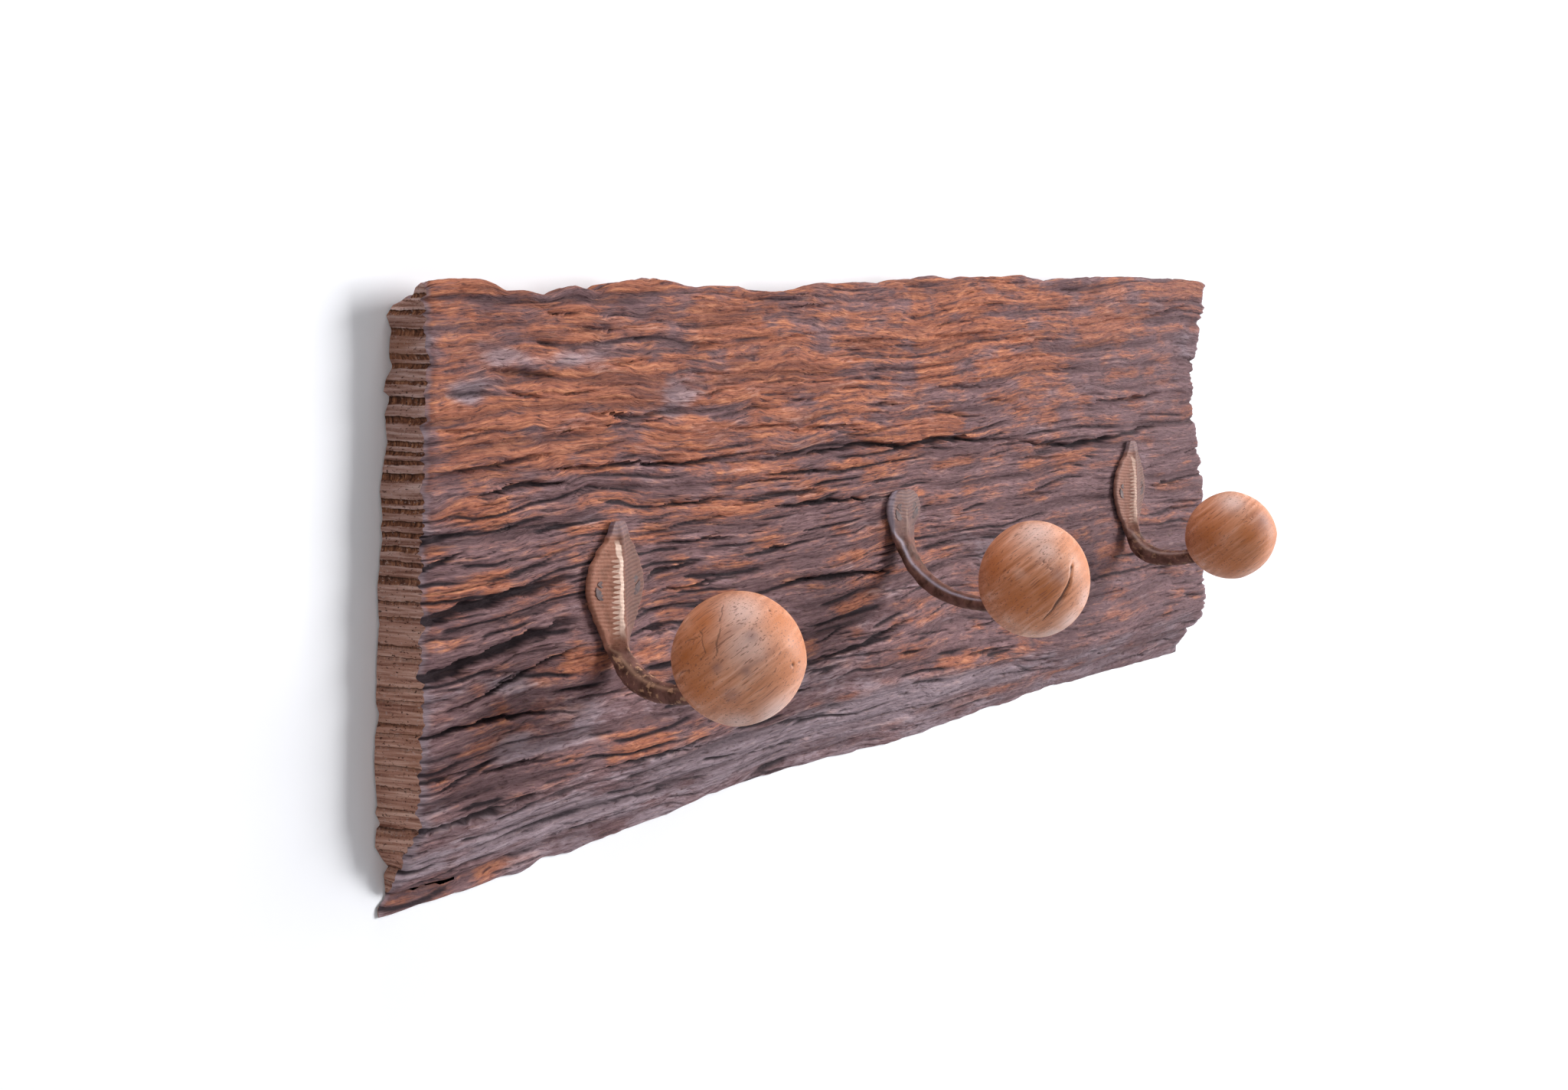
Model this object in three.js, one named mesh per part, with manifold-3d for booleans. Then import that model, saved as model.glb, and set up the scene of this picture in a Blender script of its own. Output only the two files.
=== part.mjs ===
import * as THREE from 'three';
import Module from 'manifold-3d';
import { mergeVertices } from 'three/addons/utils/BufferGeometryUtils.js';

// A rustic coat rack: a split and weathered hardwood board that hangs flat on a wall, with three
// cast hooks screwed to its face. A turned wooden knob sits on a stud at the end of each hook.
// Millimetres. X runs along the board to the right, Y into the wall and Z up.
// The origin is the middle of the flat back of the board, which lies on the wall.

const wasm = await Module();
wasm.setup();

// Clearances
const SEAT_GAP = 0.3; // between a piece and the face that it rests on
const BORE_CLEARANCE = 0.3; // all round a screw, stud or stem in its hole
const OVERSHOOT = 1; // how far a cutter runs past the face that it opens

// Board
const BOARD_LENGTH = 520;
const BOARD_THICKNESS = 17;
const BACK_HEIGHT = 161; // height of the flat back
const TOP_RISE = 7; // how far the top edge slopes up from the back to the front
const STATION_PITCH = 18; // one cross-section of the board for each such length
const DATUM = 82; // height that places down the board are measured from

// The wavy edges, as [distance along from the left end, distance down]
const TOP_EDGE = [[-14, -5.4], [-2, -6], [6, -6.6], [20, -6.8], [29, -5.9], [35, -3.4], [56, -2.3],
  [67, -4.2], [78, -2.8], [84, -5.4], [108, -7], [114, -5.8], [126, -3.8], [146, -3.8], [170, -1.8],
  [187, -1.5], [201, -4], [247, -3.9], [280, -5.7], [297, -4.8], [352, -4.9], [371, -2.8], [423, -3.4],
  [456, -3.2], [502, -2.4], [514, -1.3], [534, 1]];
const CREASE = [[-14, 144.6], [14, 144.5], [42, 141.7], [72, 139.9], [138, 140.8], [174, 141.4],
  [213, 139.3], [296, 139.5], [391, 144.5], [464, 145.5], [534, 146]];
const BOTTOM_EDGE = [[-14, 170], [20, 170], [55, 169.6], [66, 167.8], [78, 168.6], [90, 167.4],
  [125, 166.4], [165, 163.4], [203, 163.1], [240, 164], [282, 165.2], [326, 164.2], [345, 163.2],
  [364, 163.3], [404, 162], [425, 163], [470, 163], [505, 163.5], [534, 164.2]];

// The ragged ends, as [distance down, millimetres to the right]
const LEFT_END = [[-20, 0.5], [0, -0.6], [12, -0.2], [47, -2.6], [82, -5.2], [86, -4.4], [92, -5.8],
  [102, -6.4], [104, -5.4], [137, -8.2], [149, -7.2], [153, -9], [168, -10.4], [190, -9.6]];
const RIGHT_END = [[-20, 5], [0, 5], [4, 3], [8, 3.5], [10, 6], [14, 3], [18, 0.5], [24, 1], [30, -3.5],
  [34, -4.5], [39.5, -9.5], [43, -6], [48, -7.5], [55.6, -7], [60, -4], [67, -3], [72, 0], [84, 2.5],
  [129, 5], [139, 7], [146, 6], [152, 6], [160, 8], [190, 9]];

// Ropes of fibre run along the board, with a furrow between each two. The grain swings up and down in
// waves, each [height, length, slant, phase], and climbs to the right below the middle of the left end.
const ROPE_PITCH = 8.6;
const ROPE_ROWS = 3; // rows of points for each rope
const FIRST_ROW = -11;
const LAST_ROW = 62;
const GRAIN_WAVES = [[2.2, 61, 37, 0], [1.1, 24, -19, 1], [0.5, 10.3, 13, 2]];
const CLIMB = { height: 9, start: -20, end: 75, level: 95, reach: 32 };

// Furrows open and close along their length in two waves, each [length, turn from one furrow to the next]
const FURROW_WAVES = [[31, 2.4], [53, 1.7]];
const FURROW_DEPTH = 2.1;
const SWELL = { depth: 0.45, length: 83, slant: 23 };
const CORNER_REACH = 3; // how far from an edge the relief starts to turn towards the next face
const PARED_MARGIN = 4; // how far the wood is pared flat round the plate of a hook
const PARED_FADE = [0.9, 1.4]; // shares of the pared reach between which the full relief comes back
const PARED_SHARE = 0.15; // how much of the relief is left there
const SETTLING_TURNS = 12; // corrections until a row of points lies on its own grain line

// Cracks in the face of the board. Each point is [distance along, distance down].
const DEEP = 5;
const MIDDLING = 3.5;
const SHALLOW = 2.5;
const CRACKS = [
  { width: 4, depth: DEEP, path: [[-7, 88], [12, 85], [40, 83], [65, 80]] },
  { width: 4.5, depth: DEEP, path: [[-8, 104], [20, 100], [45, 96], [68, 93]] },
  { width: 2.6, depth: DEEP, path: [[165, 52], [205, 53], [230, 52], [262, 55], [285, 53.5], [352, 57]] },
  { width: 2.6, depth: DEEP, path: [[345, 57], [370, 61], [398, 62.7], [440, 60.5], [485, 58.7]] },
  { width: 3.3, depth: DEEP, path: [[-12, 146], [22, 145.5], [57, 143]] },
  { width: 3, depth: MIDDLING, path: [[25, 19], [42, 20], [60, 22]] },
  { width: 2, depth: MIDDLING, path: [[1, 47], [28, 46], [54, 44]] },
  { width: 1.8, depth: MIDDLING, path: [[48, 49], [98, 50], [125, 52], [172, 50]] },
  { width: 2.2, depth: MIDDLING, path: [[70, 33], [100, 36], [129, 35]] },
  { width: 2.2, depth: MIDDLING, path: [[-12, 65], [2, 64.5], [18, 63]] },
  { width: 2.2, depth: MIDDLING, path: [[-10, 74], [4, 71], [17, 68]] },
  { width: 1.8, depth: MIDDLING, path: [[17, 54], [42, 52], [65, 54]] },
  { width: 1.8, depth: MIDDLING, path: [[-7, 119], [22, 118], [52, 119]] },
  { width: 2, depth: MIDDLING, path: [[172, 69], [210, 70], [245, 72]] },
  { width: 2, depth: MIDDLING, path: [[176, 95], [215, 96], [258, 99]] },
  { width: 2, depth: MIDDLING, path: [[192, 124], [230, 122], [264, 117]] },
  { width: 2.4, depth: MIDDLING, path: [[414, 46], [450, 47], [482, 45]] },
  { width: 2.2, depth: MIDDLING, path: [[452, 15], [480, 12], [512, 7]] },
  { width: 2.5, depth: SHALLOW, path: [[97, 86], [106, 84], [114, 83]] },
  { width: 1.6, depth: SHALLOW, path: [[1, 35], [15, 35.5], [29, 35]] },
  { width: 2, depth: SHALLOW, path: [[33, 25], [52, 28]] },
  { width: 2, depth: SHALLOW, path: [[48, 11], [60, 13]] },
  { width: 2, depth: SHALLOW, path: [[52, 3], [70, 4]] },
  { width: 1.4, depth: SHALLOW, path: [[52, 38], [78, 38]] },
  { width: 1.5, depth: SHALLOW, path: [[44, 66], [65, 66]] },
  { width: 1.4, depth: SHALLOW, path: [[2, 113], [25, 110], [45, 105], [70, 101]] },
  { width: 1.6, depth: SHALLOW, path: [[-3, 131], [18, 131]] },
  { width: 1.8, depth: SHALLOW, path: [[62, 141], [90, 142], [126, 143]] },
  { width: 1.6, depth: SHALLOW, path: [[92, 101], [116, 101]] },
  { width: 3, depth: SHALLOW, path: [[126, 15], [143, 15]] },
  { width: 1.8, depth: SHALLOW, path: [[89, 12], [118, 12]] },
  { width: 1.6, depth: SHALLOW, path: [[82, 20], [109, 18]] },
  { width: 1.6, depth: SHALLOW, path: [[124, 23], [149, 25]] },
  { width: 1.8, depth: SHALLOW, path: [[101, 64], [148, 64]] },
  { width: 1.6, depth: SHALLOW, path: [[102, 75], [149, 77]] },
  { width: 1.8, depth: SHALLOW, path: [[165, 58], [218, 60]] },
  { width: 1.8, depth: SHALLOW, path: [[182, 45], [234, 45]] },
  { width: 1.6, depth: SHALLOW, path: [[178, 35], [205, 35]] },
  { width: 1.6, depth: SHALLOW, path: [[218, 19], [237, 19]] },
  { width: 1.6, depth: SHALLOW, path: [[232, 27], [252, 26]] },
  { width: 2.2, depth: SHALLOW, path: [[274, 35], [338, 36]] },
  { width: 1.8, depth: SHALLOW, path: [[278, 43], [318, 47]] },
  { width: 1.6, depth: SHALLOW, path: [[196, 118], [226, 114]] },
  { width: 1.6, depth: SHALLOW, path: [[253, 129], [276, 129]] },
  { width: 1.6, depth: SHALLOW, path: [[358, 20], [382, 20]] },
  { width: 1.6, depth: SHALLOW, path: [[384, 32], [405, 32]] },
  { width: 2.2, depth: SHALLOW, path: [[465, 84], [505, 84]] },
];

// Grooves across the sawn left end, as [distance down, width, depth]
const END_GROOVES = [[4, 2, 3], [9, 1.5, 2], [16, 4, 5], [22, 1.5, 2.5], [32, 2, 3], [44, 1.5, 2.5],
  [52, 1.5, 2], [65, 2.5, 3.5], [72.5, 2.5, 4], [91, 1.5, 2], [109, 1.5, 2], [115, 1.5, 2], [122, 1.5, 2],
  [128, 1.5, 2]];
const GROOVE_DEEPENING = 1.6; // how much deeper a groove is at the back than at the front

// Hooks, placed along the board
const LEFT_HOOK_MARGIN = 80.5; // from the left end
const MIDDLE_HOOK_OFFSET = -6.5; // from the middle of the board
const RIGHT_HOOK_MARGIN = 78.5; // from the right end

// Screws that hold the hooks
const SCREW_SHANK = 3.5;
const SCREW_HEAD = 6;
const SCREW_TIP = 3;
const SCREW_COVER = 5; // wood left between a screw tip and the back
const SLOT_WIDTH = 0.9;
const SLOT_DEPTH = 0.8;
const HEAD_RIM = 0.35;
const SLOT_TURN = 0.6; // radians that a slot is turned from the level

// Studs that join the knobs to the hooks
const STUD_DIAMETER = 3;
const STUD_IN_HOOK = 7;
const STUD_IN_KNOB = 13;
const STUD_CHAMFER = 0.5;
const STEM_IN_KNOB = 4; // how far a stem goes into its knob

// Leaf plates of the two outer hooks
const LEAF_LENGTH = 32;
const LEAF_WIDTH = 29.2;
const LEAF_EDGE = 2; // thickness at the edge
const LEAF_RIDGE = 4.6; // height of the ridge down the middle
const LEAF_LEAN = 2; // how far the tab at the top leans to the right

// Shield plate of the middle hook
const SHIELD_LENGTH = 10;
const SHIELD_WIDTH = 21;
const SHIELD_EDGE = 2.8;
const SHIELD_RIDGE = 3.4;

// Plate outlines, as [share of the length, of the width, of the edge, of the ridge and of the lean]
const LEAF_OUTLINE = [[0, 0.15, 0.9, 0.41, 1], [0.04, 0.25, 1, 0.5, 1], [0.09, 0.3, 1, 0.57, 1],
  [0.16, 0.4, 1, 0.74, 0.8], [0.28, 0.67, 1, 0.93, 0.3], [0.41, 0.88, 1, 0.98, 0], [0.53, 0.98, 1, 1, 0],
  [0.64, 1, 1, 1, 0], [0.75, 0.92, 1, 1, 0], [0.875, 0.77, 1, 1.02, 0], [1, 0.6, 1.1, 1.09, 0]];
const SHIELD_OUTLINE = [[0, 0.38, 0.86, 0.8, 0], [0.09, 0.63, 0.93, 0.9, 0], [0.26, 0.84, 1, 0.95, 0],
  [0.5, 0.97, 1, 1, 0], [0.7, 1, 1, 1, 0], [1, 0.93, 1, 1, 0]];

// Stem sizes, as [share of the stem from its root, times the end width, times the end thickness]
const LEAF_STEM_END = 6.2; // across the round end in the knob
const LEAF_STEM = [[0, 2.03, 0.87], [0.12, 1.52, 1], [0.35, 1.35, 1.26], [1, 1, 1]];
const SHIELD_STEM_END = 5.2;
const SHIELD_STEM = [[0, 3, 0.69], [0.2, 2.04, 0.92], [0.5, 1.35, 1.19], [1, 1, 1]];
const STEM_STEPS = 14;
const PLATE_TO_BAR = [-0.05, 0.25]; // shares of the stem between which its section turns from flat to round

// Each hook is made by hand, so its sizes are its own. The drop is measured from the top edge of the board
// at the face to the top of the plate, the neck from the end of the plate to where the stem bends away, and
// the knob's reach and drop from the face and from the top of the plate to the middle of the knob.
const LEFT_HOOK_DROP = 71.5;
const LEFT_NECK = 4;
const LEFT_KNOB_REACH = 45.6;
const LEFT_KNOB_DROP = 38.4;
const LEFT_KNOB_DIAMETER = 40;
const LEFT_KNOB_LENGTH = 40;
const MIDDLE_HOOK_DROP = 75;
const MIDDLE_NECK = 3;
const MIDDLE_KNOB_REACH = 53.5;
const MIDDLE_KNOB_DROP = 29.3;
const MIDDLE_KNOB_DIAMETER = 40.6;
const MIDDLE_KNOB_LENGTH = 38.4;
const RIGHT_HOOK_DROP = 69;
const RIGHT_NECK = 1.5;
const RIGHT_KNOB_REACH = 46.6;
const RIGHT_KNOB_DROP = 37.2;
const RIGHT_KNOB_DIAMETER = 35.8;
const RIGHT_KNOB_LENGTH = 37.4;

// Screw places: in from the side of the plate, down from its top, and the head's face over the plate's edge
const LEAF_SCREWS = { margin: 6.3, share: 0.625, stand: 0.4 };
const SHIELD_SCREWS = { margin: 5.7, share: 0.76, stand: 0.2 };

const LEAF_HOOK = {
  length: LEAF_LENGTH,
  width: LEAF_WIDTH,
  edge: LEAF_EDGE,
  ridge: LEAF_RIDGE,
  lean: LEAF_LEAN,
  outline: LEAF_OUTLINE,
  stem: LEAF_STEM,
  stemEnd: LEAF_STEM_END,
  screws: LEAF_SCREWS,
};
const SHIELD_HOOK = {
  length: SHIELD_LENGTH,
  width: SHIELD_WIDTH,
  edge: SHIELD_EDGE,
  ridge: SHIELD_RIDGE,
  lean: 0,
  outline: SHIELD_OUTLINE,
  stem: SHIELD_STEM,
  stemEnd: SHIELD_STEM_END,
  screws: SHIELD_SCREWS,
};

// The stem leaves the plate straight down and rises at the entry angle where it meets the knob. Its swings
// are shares of the knob's reach, and it passes below the knob's middle by a share of the knob's diameter.
const HOOKS = [
  {
    ...LEAF_HOOK,
    name: 'left',
    x: -BOARD_LENGTH / 2 + LEFT_HOOK_MARGIN,
    drop: LEFT_HOOK_DROP,
    rootDrop: LEAF_LENGTH + LEFT_NECK,
    rootSwing: 0.263,
    entrySwing: 0.285,
    entryAngle: 13,
    entryOffset: 0.195,
    knob: {
      reach: LEFT_KNOB_REACH,
      drop: LEFT_KNOB_DROP,
      diameter: LEFT_KNOB_DIAMETER,
      length: LEFT_KNOB_LENGTH,
    },
  },
  {
    ...SHIELD_HOOK,
    name: 'middle',
    x: MIDDLE_HOOK_OFFSET,
    drop: MIDDLE_HOOK_DROP,
    rootDrop: SHIELD_LENGTH + MIDDLE_NECK,
    rootSwing: 0.336,
    entrySwing: 0.336,
    entryAngle: 1,
    entryOffset: 0.234,
    knob: {
      reach: MIDDLE_KNOB_REACH,
      drop: MIDDLE_KNOB_DROP,
      diameter: MIDDLE_KNOB_DIAMETER,
      length: MIDDLE_KNOB_LENGTH,
    },
  },
  {
    ...LEAF_HOOK,
    name: 'right',
    x: BOARD_LENGTH / 2 - RIGHT_HOOK_MARGIN,
    drop: RIGHT_HOOK_DROP,
    rootDrop: LEAF_LENGTH + RIGHT_NECK,
    rootSwing: 0.3,
    entrySwing: 0.365,
    entryAngle: 12,
    entryOffset: 0.156,
    knob: {
      reach: RIGHT_KNOB_REACH,
      drop: RIGHT_KNOB_DROP,
      diameter: RIGHT_KNOB_DIAMETER,
      length: RIGHT_KNOB_LENGTH,
    },
  },
];

// Keyhole hanger plates, let into the back of the board
const HANGER_MARGIN = 125; // from each end of the board
const HANGER_DROP = 38; // from the top edge of the back
const HANGER_WIDTH = 18;
const HANGER_HEIGHT = 46;
const HANGER_CORNER = 3;
const HANGER_THICKNESS = 1.8;
const HANGER_SINK = 0.3; // how far the plate lies below the back of the board
const KEYHOLE_DIAMETER = 10.5;
const KEYHOLE_DROP = 4; // from the middle of the plate
const KEYHOLE_SLOT_WIDTH = 5.2;
const KEYHOLE_SLOT_LENGTH = 11;
const POCKET_MARGIN = 1; // wood cut away round the keyhole
const POCKET_DEPTH = 6.5;
const HANGER_SCREW_MARGIN = 4.25; // from each end of the plate to a screw
const HANGER_SCREW_HEAD = 5.6;
const HANGER_SCREW_SHANK = 3;
const HANGER_SCREW_LENGTH = 10;

// Facets of the round pieces
const KNOB_SIDES = 28;
const KNOB_RINGS = 18;
const SCREW_SIDES = 16;
const STUD_SIDES = 12;
const KEYHOLE_SIDES = 24;

const WEATHERED_WOOD = { color: '#7a5a50', roughness: 0.9, metalness: 0 };
const TURNED_WOOD = { color: '#b9794b', roughness: 0.5, metalness: 0 };
const PATINA_BRONZE = { color: '#6b4a3c', roughness: 0.45, metalness: 0.9 };
const SCREW_STEEL = { color: '#5b4a45', roughness: 0.5, metalness: 0.9 };
const PLATED_STEEL = { color: '#a9abad', roughness: 0.4, metalness: 1 };

// A closed solid for joining and cutting, from a geometry, and the geometry of such a solid
function solid(geometry) {
  const bare = geometry.index ? geometry.clone() : geometry;
  bare.deleteAttribute('normal');
  bare.deleteAttribute('uv');
  const merged = mergeVertices(bare, 1e-4);
  return new wasm.Manifold(new wasm.Mesh({
    numProp: 3,
    vertProperties: merged.attributes.position.array,
    triVerts: new Uint32Array(merged.index.array),
  }));
}

function geometryOf(body) {
  const mesh = body.getMesh();
  const geometry = new THREE.BufferGeometry();
  geometry.setAttribute('position', new THREE.BufferAttribute(mesh.vertProperties, 3));
  geometry.setIndex(new THREE.BufferAttribute(mesh.triVerts, 1));
  geometry.computeVertexNormals();
  return geometry;
}

function part(name, geometry, finish) {
  const mesh = new THREE.Mesh(geometry, new THREE.MeshStandardMaterial(finish));
  mesh.name = name;
  return mesh;
}

// The skin through a row of rings with equal point counts, closed by a fan at each end
function loft(rings) {
  const sides = rings[0].length;
  const positions = rings.flat().flatMap((point) => [point.x, point.y, point.z]);
  const faces = [];
  for (let ring = 0; ring + 1 < rings.length; ring += 1) {
    for (let side = 0; side < sides; side += 1) {
      const next = (side + 1) % sides;
      const here = ring * sides;
      const there = here + sides;
      faces.push(here + side, there + next, here + next);
      faces.push(here + side, there + side, there + next);
    }
  }
  const last = (rings.length - 1) * sides;
  for (let side = 1; side + 1 < sides; side += 1) {
    faces.push(0, side, side + 1);
    faces.push(last, last + side + 1, last + side);
  }
  const geometry = new THREE.BufferGeometry();
  geometry.setAttribute('position', new THREE.Float32BufferAttribute(positions, 3));
  geometry.setIndex(faces);
  return geometry;
}

// Eased value between the rows of a table, whose first column is the place
function follow(table, at, column = 1) {
  const next = table.findIndex(([place]) => place >= at);
  if (next === 0) {
    return table[0][column];
  }
  if (next < 0) {
    return table[table.length - 1][column];
  }
  const [before, after] = [table[next - 1], table[next]];
  const share = (at - before[0]) / (after[0] - before[0]);
  return THREE.MathUtils.lerp(before[column], after[column], THREE.MathUtils.smoothstep(share, 0, 1));
}

// A revolved solid along +Y, from [radius, height] points that start and end on the axis
function turned(profile, sides) {
  const points = profile.map(([radius, height]) => new THREE.Vector2(radius, height));
  return new THREE.LatheGeometry(points, sides);
}

// Board

const FACE_Y = -BOARD_THICKNESS;
const BACK_TOP = BACK_HEIGHT / 2;
const FACE_TOP = BACK_TOP + TOP_RISE;
const END_REACH = 14; // how far the uncut board runs past its nominal ends

function grainSwing(along, down) {
  const waves = GRAIN_WAVES.reduce((sum, [height, length, slant, phase]) => (
    sum + height * Math.sin(along / length + down / slant + phase)
  ), 0);
  const nearness = Math.exp(-(((down - CLIMB.level) / CLIMB.reach) ** 2));
  return waves + CLIMB.height * THREE.MathUtils.smoothstep(along, CLIMB.start, CLIMB.end) * nearness;
}

// How far down the board a row of points lies, which follows the swinging grain
function rowPlace(along, row) {
  const nominal = row * ROPE_PITCH / ROPE_ROWS;
  let down = nominal;
  for (let turn = 0; turn < SETTLING_TURNS; turn += 1) {
    down = nominal - grainSwing(along, down);
  }
  return down;
}

// The share of the relief that is left at a place, which is low where a hook's plate lies on the wood
function uncut(along, down) {
  const shares = HOOKS.map((hook) => {
    const origin = hookOrigin(hook);
    const half = hook.rootDrop / 2;
    const across = (along - BOARD_LENGTH / 2 - origin.x) / (hook.width / 2 + PARED_MARGIN);
    const below = (down - (DATUM - origin.z) - half) / (half + PARED_MARGIN);
    return THREE.MathUtils.smoothstep(Math.hypot(across, below), ...PARED_FADE);
  });
  return THREE.MathUtils.lerp(PARED_SHARE, 1, Math.min(...shares));
}

// How deep the surface lies below the uncut board, in the furrows and hollows between the ropes
function ropeDepth(along, down) {
  const place = (down + grainSwing(along, down)) / ROPE_PITCH;
  const furrow = Math.round(place);
  const nearness = 1 - 2 * Math.abs(place - furrow);
  const waves = FURROW_WAVES.reduce((sum, [length, turn]) => sum + Math.sin(along / length + turn * furrow), 0);
  const opening = THREE.MathUtils.clamp(0.5 + 0.45 * waves, 0, 1);
  const swell = SWELL.depth * (1 + Math.sin(along / SWELL.length + down / SWELL.slant));
  return (swell + opening * FURROW_DEPTH * nearness ** 2) * uncut(along, down);
}

// The surface goes up the bevel to the crease, up the face and back over the sloping top. Each of these has
// a direction into the wood, and the three are blended across the edges.
function skinPoint(along, down) {
  const top = follow(TOP_EDGE, along);
  const crease = follow(CREASE, along);
  const bevelRise = follow(BOTTOM_EDGE, along) - crease;
  const behind = Math.max(0, (down - crease) / bevelRise, (top - down) / BOARD_THICKNESS);
  const below = down < top ? top + (top - down) * TOP_RISE / BOARD_THICKNESS : down;
  const surface = new THREE.Vector3(along - BOARD_LENGTH / 2, FACE_Y + behind * BOARD_THICKNESS, DATUM - below);
  const overTop = 1 - THREE.MathUtils.smoothstep(down, top - CORNER_REACH, top + CORNER_REACH);
  const onBevel = THREE.MathUtils.smoothstep(down, crease - CORNER_REACH, crease + CORNER_REACH);
  const inward = new THREE.Vector3(0, 1, 0)
    .lerp(new THREE.Vector3(0, -TOP_RISE, -BOARD_THICKNESS).normalize(), overTop)
    .lerp(new THREE.Vector3(0, bevelRise, BOARD_THICKNESS).normalize(), onBevel)
    .normalize();
  const depth = ropeDepth(along, down) * THREE.MathUtils.smoothstep(-surface.y, 0, CORNER_REACH);
  return surface.addScaledVector(inward, depth);
}

// One cross-section, in which the rows next to the top edge and the crease are moved onto them
function boardSection(along) {
  const places = [];
  for (let row = LAST_ROW; row >= FIRST_ROW; row -= 1) {
    places.push(rowPlace(along, row));
  }
  [follow(TOP_EDGE, along), follow(CREASE, along)].forEach((edge) => {
    const gaps = places.map((place) => Math.abs(place - edge));
    places[gaps.indexOf(Math.min(...gaps))] = edge;
  });
  return places.map((down) => skinPoint(along, down));
}

function boardBlank() {
  const length = BOARD_LENGTH + 2 * END_REACH;
  const steps = Math.max(2, Math.round(length / STATION_PITCH));
  const sections = [];
  for (let step = 0; step <= steps; step += 1) {
    sections.push(boardSection(length * step / steps - END_REACH));
  }
  return loft(sections);
}

// The outline of the board seen from the front, between its two ragged ends, as deep as the board
function endTrim() {
  const left = LEFT_END.map(([down, shift]) => [-BOARD_LENGTH / 2 + shift, DATUM - down]);
  const right = RIGHT_END.map(([down, shift]) => [BOARD_LENGTH / 2 + shift, DATUM - down]);
  const outline = new THREE.Shape([...left, ...right.reverse()].map(([x, z]) => new THREE.Vector2(x, z)));
  const depth = BOARD_THICKNESS + OVERSHOOT;
  const geometry = new THREE.ExtrudeGeometry(outline, { depth, bevelEnabled: false });
  geometry.rotateX(Math.PI / 2);
  return geometry;
}

// A V-shaped crack that follows its path across the face and runs out at both ends
function crackCutter({ width, depth, path }) {
  const narrowest = 0.15;
  const runOut = 3.5;
  const onFace = ([along, down]) => new THREE.Vector3(along - BOARD_LENGTH / 2, FACE_Y, DATUM - down);
  const curve = new THREE.CatmullRomCurve3(path.map(onFace));
  const steps = 2 * path.length;
  const rings = [];
  for (let step = 0; step <= steps; step += 1) {
    const share = step / steps;
    const size = Math.min(1, narrowest + runOut * Math.min(share, 1 - share));
    const centre = curve.getPoint(share);
    const run = curve.getTangent(share);
    const across = new THREE.Vector3(-run.z, 0, run.x).multiplyScalar(size * width / 2);
    const deep = size * depth;
    across.multiplyScalar((deep + OVERSHOOT) / deep);
    const outer = centre.clone().add(new THREE.Vector3(0, -OVERSHOOT, 0));
    rings.push([
      outer.clone().sub(across),
      outer.clone().add(across),
      centre.clone().add(new THREE.Vector3(0, deep, 0)),
    ]);
  }
  return loft(rings);
}

// A V-shaped groove across the sawn left end, from the face to the back
function endGrooveCutter([down, width, depth]) {
  const reach = 6; // out past the raggedest part of the end
  const z = DATUM - down;
  const endX = -BOARD_LENGTH / 2 + follow(LEFT_END, down);
  const ring = (y, deep) => {
    const mouth = width / 2 * (deep + reach) / deep;
    return [
      new THREE.Vector3(endX - reach, y, z - mouth),
      new THREE.Vector3(endX + deep, y, z),
      new THREE.Vector3(endX - reach, y, z + mouth),
    ];
  };
  return loft([ring(FACE_Y - OVERSHOOT, depth), ring(OVERSHOOT, depth * GROOVE_DEEPENING)]);
}

// Screws

function screwProfile({ head, shank, length, grow = 0, above = 0 }) {
  const coneDepth = (head - shank) / 2;
  return [
    [0, -length - grow],
    [shank / 2 + grow, -length + SCREW_TIP - grow],
    [shank / 2 + grow, -HEAD_RIM - coneDepth - grow],
    [head / 2 + grow, -HEAD_RIM - grow],
    [head / 2 + grow, above],
    [0, above],
  ];
}

// A slotted countersunk screw that points down -Y, with its head face at y = 0
function slottedScrew(size) {
  const blank = solid(turned(screwProfile(size), SCREW_SIDES));
  const slot = new THREE.BoxGeometry(size.head + OVERSHOOT, 2 * SLOT_DEPTH, SLOT_WIDTH);
  slot.rotateY(size.slotTurn);
  return geometryOf(blank.subtract(solid(slot)));
}

// The hole that such a screw needs, open as far above its head as the screw is long
function screwHole(size) {
  return turned(screwProfile({ ...size, grow: BORE_CLEARANCE, above: size.length }), SCREW_SIDES);
}

// Hooks. Each is built in its own frame: the origin lies on the face of the board at the top of the plate,
// X runs across, Y into the board and Z up.

function hookPoint(across, out, up) {
  return new THREE.Vector3(across, -out, up);
}

// The plate's section has a flat back and rises from its edges to a ridge
function plateRing(halfWidth, edge, ridge) {
  const rise = ridge - edge;
  const half = [[1, 0], [1, edge * 0.6], [0.94, edge], [0.6, edge + 0.14 * rise],
    [0.28, edge + 0.5 * rise], [0.06, ridge]];
  const left = half.map(([share, out]) => [-share * halfWidth, out]);
  const right = half.map(([share, out]) => [share * halfWidth, out]).reverse();
  return [...left, ...right];
}

function barRing(width, thickness, count) {
  const ring = [];
  for (let side = 0; side < count; side += 1) {
    const angle = -Math.PI / 2 - Math.PI / count - side * 2 * Math.PI / count;
    ring.push([Math.cos(angle) * width / 2, Math.sin(angle) * thickness / 2 + thickness / 2]);
  }
  return ring;
}

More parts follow.
